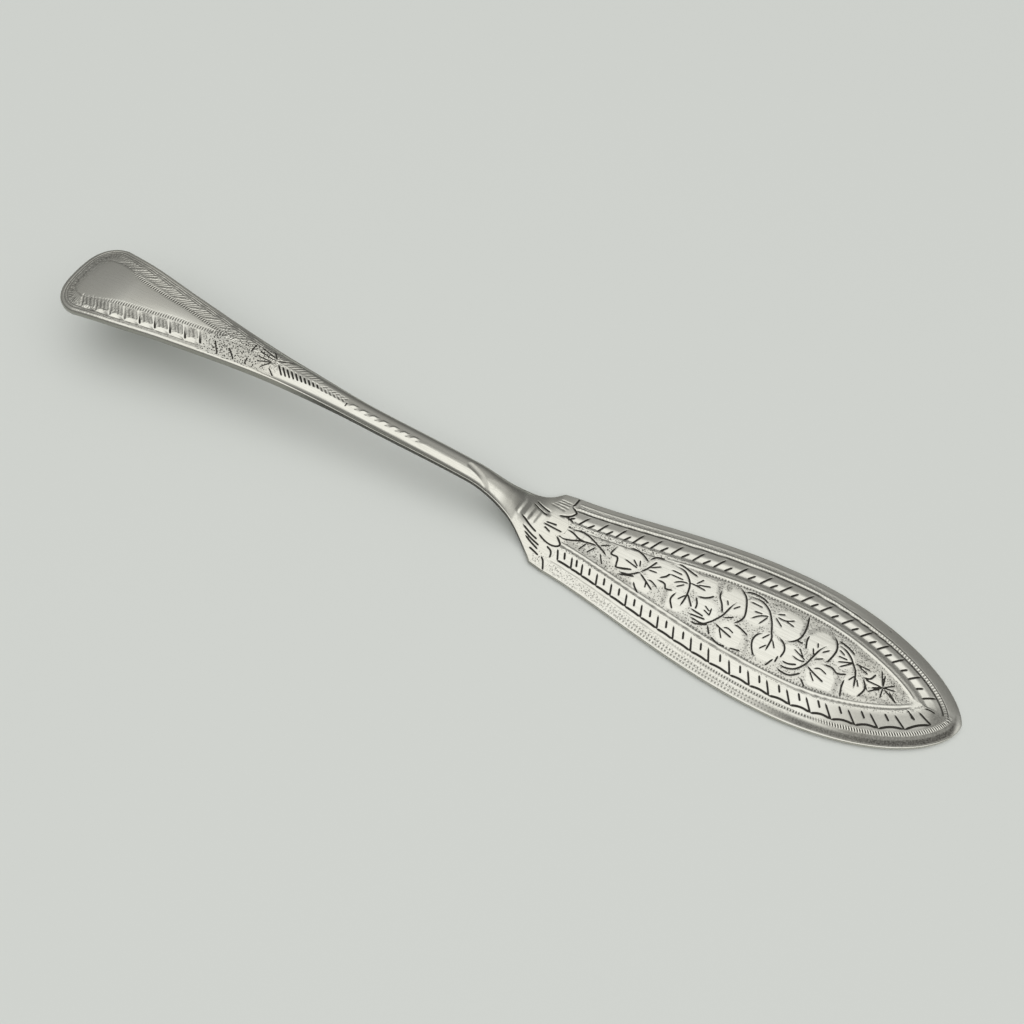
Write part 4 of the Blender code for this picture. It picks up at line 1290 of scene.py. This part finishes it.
def silver(name, bright, warm, oxide, roughness):
    """Old silver, bright cut by hand and polished over: a soft mirror whose cuts have gone dark.

    Polishing leaves hairlines along the length, stain is grainy, and a faint warm bloom clouds the metal.
    """
    material, tree, shader, places = bare_metal(name)
    tarnish_and_shade, stipple, milling, run, ink = (
        node(tree, "Attribute", "Fac", attribute_name=mark) for mark in MARKS
    )
    bloom = node(tree, "TexNoise", "Fac",
                 {"Vector": places, "Scale": 1.0 / (BLOOM_SIZE * MM), "Detail": 3.0})
    clouded = node(tree, "Mix", "Result",
                   {"Factor": bloom, "A": linear(bright), "B": linear(warm)}, data_type="RGBA")

    # Marks that stay crisp: punched pits, milled ticks and dark strokes
    cells = node(tree, "TexVoronoi", "Distance", {"Vector": places, "Scale": 1.0 / (STIPPLE_PITCH * MM)})
    pits = node(tree, "MapRange", "Result",
                {"Value": cells, "From Min": 0.2, "From Max": 0.5, "To Min": 1.0, "To Max": 0.0},
                interpolation_type="SMOOTHSTEP")
    punched = node(tree, "Math", "Value", {0: pits, 1: stipple}, operation="MULTIPLY")
    turns = node(tree, "Math", "Value", {0: run, 1: 2.0 * np.pi}, operation="MULTIPLY")
    wave = node(tree, "Math", "Value", {0: turns}, operation="COSINE")
    ticks = node(tree, "MapRange", "Result",
                 {"Value": wave, "From Min": -0.5, "From Max": 0.4, "To Min": 1.0, "To Max": 0.0},
                 interpolation_type="SMOOTHSTEP")
    milled = node(tree, "Math", "Value", {0: ticks, 1: milling}, operation="MULTIPLY")
    marks = node(tree, "Math", "Value", {0: punched, 1: milled}, operation="MAXIMUM")
    strokes = node(tree, "MapRange", "Result",
                   {"Value": ink, "From Min": -0.1, "From Max": 0.3, "To Max": 0.97},
                   interpolation_type="SMOOTHSTEP")
    inked = node(tree, "Math", "Value", {0: strokes, 1: marks}, operation="MAXIMUM")

    # Hairlines, and grainy stain that also carries the painted shade
    fineness = (1.0 / (HAIRLINE_LENGTH * MM), 1.0 / (HAIRLINE_WIDTH * MM), 1.0 / (HAIRLINE_WIDTH * MM))
    stretched = node(tree, "Mapping", "Vector", {"Vector": places, "Scale": fineness})
    hairlines = node(tree, "TexNoise", "Fac", {"Vector": stretched, "Scale": 1.0, "Detail": 2.0})
    grain = node(tree, "TexNoise", "Fac",
                 {"Vector": places, "Scale": 1.0 / (STAIN_GRAIN * MM), "Detail": 2.0})
    uneven = node(tree, "MapRange", "Result",
                  {"Value": grain, "From Min": 0.3, "From Max": 0.7, "To Min": 0.87, "To Max": 1.07})
    stain_and_shade = node(tree, "Math", "Value", {0: tarnish_and_shade, 1: uneven}, operation="MULTIPLY")
    scratches = node(tree, "MapRange", "Result",
                     {"Value": hairlines, "From Min": 0.45, "From Max": 0.8, "To Max": 0.14})
    stain_shade_and_scratches = node(tree, "Math", "Value", {0: stain_and_shade, 1: scratches}, operation="MAXIMUM")
    darkened = node(tree, "Math", "Value", {0: stain_shade_and_scratches, 1: inked}, operation="MAXIMUM")

    # Colour, roughness and relief: stain and painted shade both darken towards the oxide colour and roughen
    toned = node(tree, "Mix", "Result", {"Factor": darkened, "A": clouded, "B": linear(oxide)},
                 data_type="RGBA")
    smoothest, roughest = np.add(roughness, POLISH_VARIES)
    rough = node(tree, "MapRange", "Result", {"Value": hairlines, "To Min": smoothest, "To Max": roughest})
    rougher = node(tree, "Math", "Value", {0: darkened, 1: OXIDE_ROUGHNESS, 2: rough},
                   operation="MULTIPLY_ADD")
    polish = node(tree, "Bump", "Normal",
                  {"Height": hairlines, "Strength": 0.1, "Distance": POLISH_DEPTH * MM})
    bump = node(tree, "Bump", "Normal",
                {"Height": marks, "Normal": polish, "Strength": 0.5, "Distance": MARK_DEPTH * MM},
                invert=True)
    tree.links.new(toned, shader.inputs["Base Color"])
    tree.links.new(rougher, shader.inputs["Roughness"])
    tree.links.new(bump, shader.inputs["Normal"])
    return material


def hard_solder():
    """Silver solder as it set: paler yellow than the silver, slightly grainy and dull."""
    material, tree, shader, places = bare_metal("hard_silver_solder_as_set")
    grain = node(tree, "TexNoise", "Fac",
                 {"Vector": places, "Scale": 1.0 / (SOLDER_GRAIN * MM), "Detail": 4.0})
    toned = node(tree, "Mix", "Result",
                 {"Factor": grain, "A": linear("#C9C0A8"), "B": linear("#9D9484")}, data_type="RGBA")
    rough = node(tree, "MapRange", "Result", {"Value": grain, "To Min": 0.38, "To Max": 0.55})
    tree.links.new(toned, shader.inputs["Base Color"])
    tree.links.new(rough, shader.inputs["Roughness"])
    return material


def make_floor():
    """Plain pale floor under the knife."""
    side = FLOOR_SIZE / 2.0
    corners = [(-side, -side, 0.0), (side, -side, 0.0), (side, side, 0.0), (-side, side, 0.0)]
    mesh = bpy.data.meshes.new("floor")
    mesh.from_pydata(corners, [], [(0, 1, 2, 3)])
    floor = bpy.data.objects.new("floor", mesh)
    bpy.context.scene.collection.objects.link(floor)
    material = bpy.data.materials.new("pale_floor")
    material.use_nodes = True
    shader = material.node_tree.nodes["Principled BSDF"]
    shader.inputs["Base Color"].default_value = linear("#CACDC8")
    shader.inputs["Roughness"].default_value = 0.6
    mesh.materials.append(material)


def make_light():
    """Soft light from overhead that reaches down by the camera and by the tip, and fades to the horizon."""
    world = bpy.data.worlds.new("soft_studio")
    bpy.context.scene.world = world
    world.use_nodes = True
    tree = world.node_tree
    azimuth = np.radians(KNIFE_AZIMUTH)
    to_camera = (-np.sin(azimuth), -np.cos(azimuth), 0.0)
    direction = node(tree, "TexCoord", "Generated")
    upward = node(tree, "SeparateXYZ", "Z", {"Vector": direction})
    tipward = upward.node.outputs["X"]
    nearness = node(tree, "VectorMath", "Value", {0: direction, 1: to_camera}, operation="DOT_PRODUCT")
    near = node(tree, "Math", "Value", {0: nearness, 1: 0.0}, operation="MAXIMUM")
    past = node(tree, "Math", "Value", {0: tipward, 1: SIDE_FROM}, operation="SUBTRACT")
    beside = node(tree, "Math", "Value", {0: past, 1: 0.0}, operation="MAXIMUM")
    raised = node(tree, "Math", "Value", {0: near, 1: NEAR_REACH, 2: upward}, operation="MULTIPLY_ADD")
    height = node(tree, "Math", "Value", {0: beside, 1: SIDE_REACH, 2: raised}, operation="MULTIPLY_ADD")
    tones = node(tree, "ValToRGB", "Color", {"Fac": height})
    elements = tones.node.color_ramp.elements
    while len(elements) < len(SKY_TONES):
        elements.new(0.5)
    for element, (place, value) in zip(elements, SKY_TONES):
        element.position = place
        element.color = (value, value, value, 1.0)
    horizon = node(tree, "MapRange", "Result",
                   {"Value": upward, "From Min": 0.0, "From Max": 0.5, "To Min": 0.8, "To Max": 1.0},
                   interpolation_type="SMOOTHSTEP")
    toned = node(tree, "Mix", "Result", {"Factor": 1.0, "A": tones, "B": horizon},
                 data_type="RGBA", blend_type="MULTIPLY")
    background = tree.nodes["Background"]
    tree.links.new(toned, background.inputs["Color"])
    background.inputs["Strength"].default_value = SKY_STRENGTH


def make_camera():
    """Camera at the photograph's angle: turned about the upright, tipped down, then rolled."""
    azimuth = Matrix.Rotation(np.radians(KNIFE_AZIMUTH), 3, "Z")
    elevation = np.radians(CAMERA_ELEVATION)
    sine = np.sin(elevation)
    cosine = np.cos(elevation)
    tip_down = Matrix(((1.0, 0.0, 0.0), (0.0, -sine, -cosine), (0.0, cosine, -sine)))
    roll = Matrix.Rotation(np.radians(CAMERA_ROLL), 3, "Z")
    to_camera = roll @ tip_down @ azimuth
    offset = Vector(CAMERA_OFFSET) * MM
    data = bpy.data.cameras.new("camera")
    data.sensor_width = SENSOR_WIDTH
    data.lens = FOCAL_PIXELS / IMAGE_SIDE * SENSOR_WIDTH
    data.clip_start = CLIP_START
    camera = bpy.data.objects.new("camera", data)
    bpy.context.scene.collection.objects.link(camera)
    turned = to_camera.transposed() @ Matrix.Diagonal((1.0, -1.0, -1.0))
    place = Vector((SHOULDER, 0.0, CAMERA_DATUM * MM)) - to_camera.transposed() @ offset
    camera.matrix_world = Matrix.Translation(place) @ turned.to_4x4()
    bpy.context.scene.camera = camera


make_blade(silver("polished_silver_blade", bright="#C7C7BF", warm="#BFBDB2", oxide="#23211D",
                  roughness=0.22))
make_handle(silver("polished_silver_handle", bright="#C5C5BD", warm="#BDBBB0", oxide="#262420",
                   roughness=0.18))
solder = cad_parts["solder_layer"]
solder.data.materials.clear()
solder.data.materials.append(hard_solder())
make_floor()
make_light()
make_camera()
bpy.context.scene.view_settings.view_transform = "Standard"
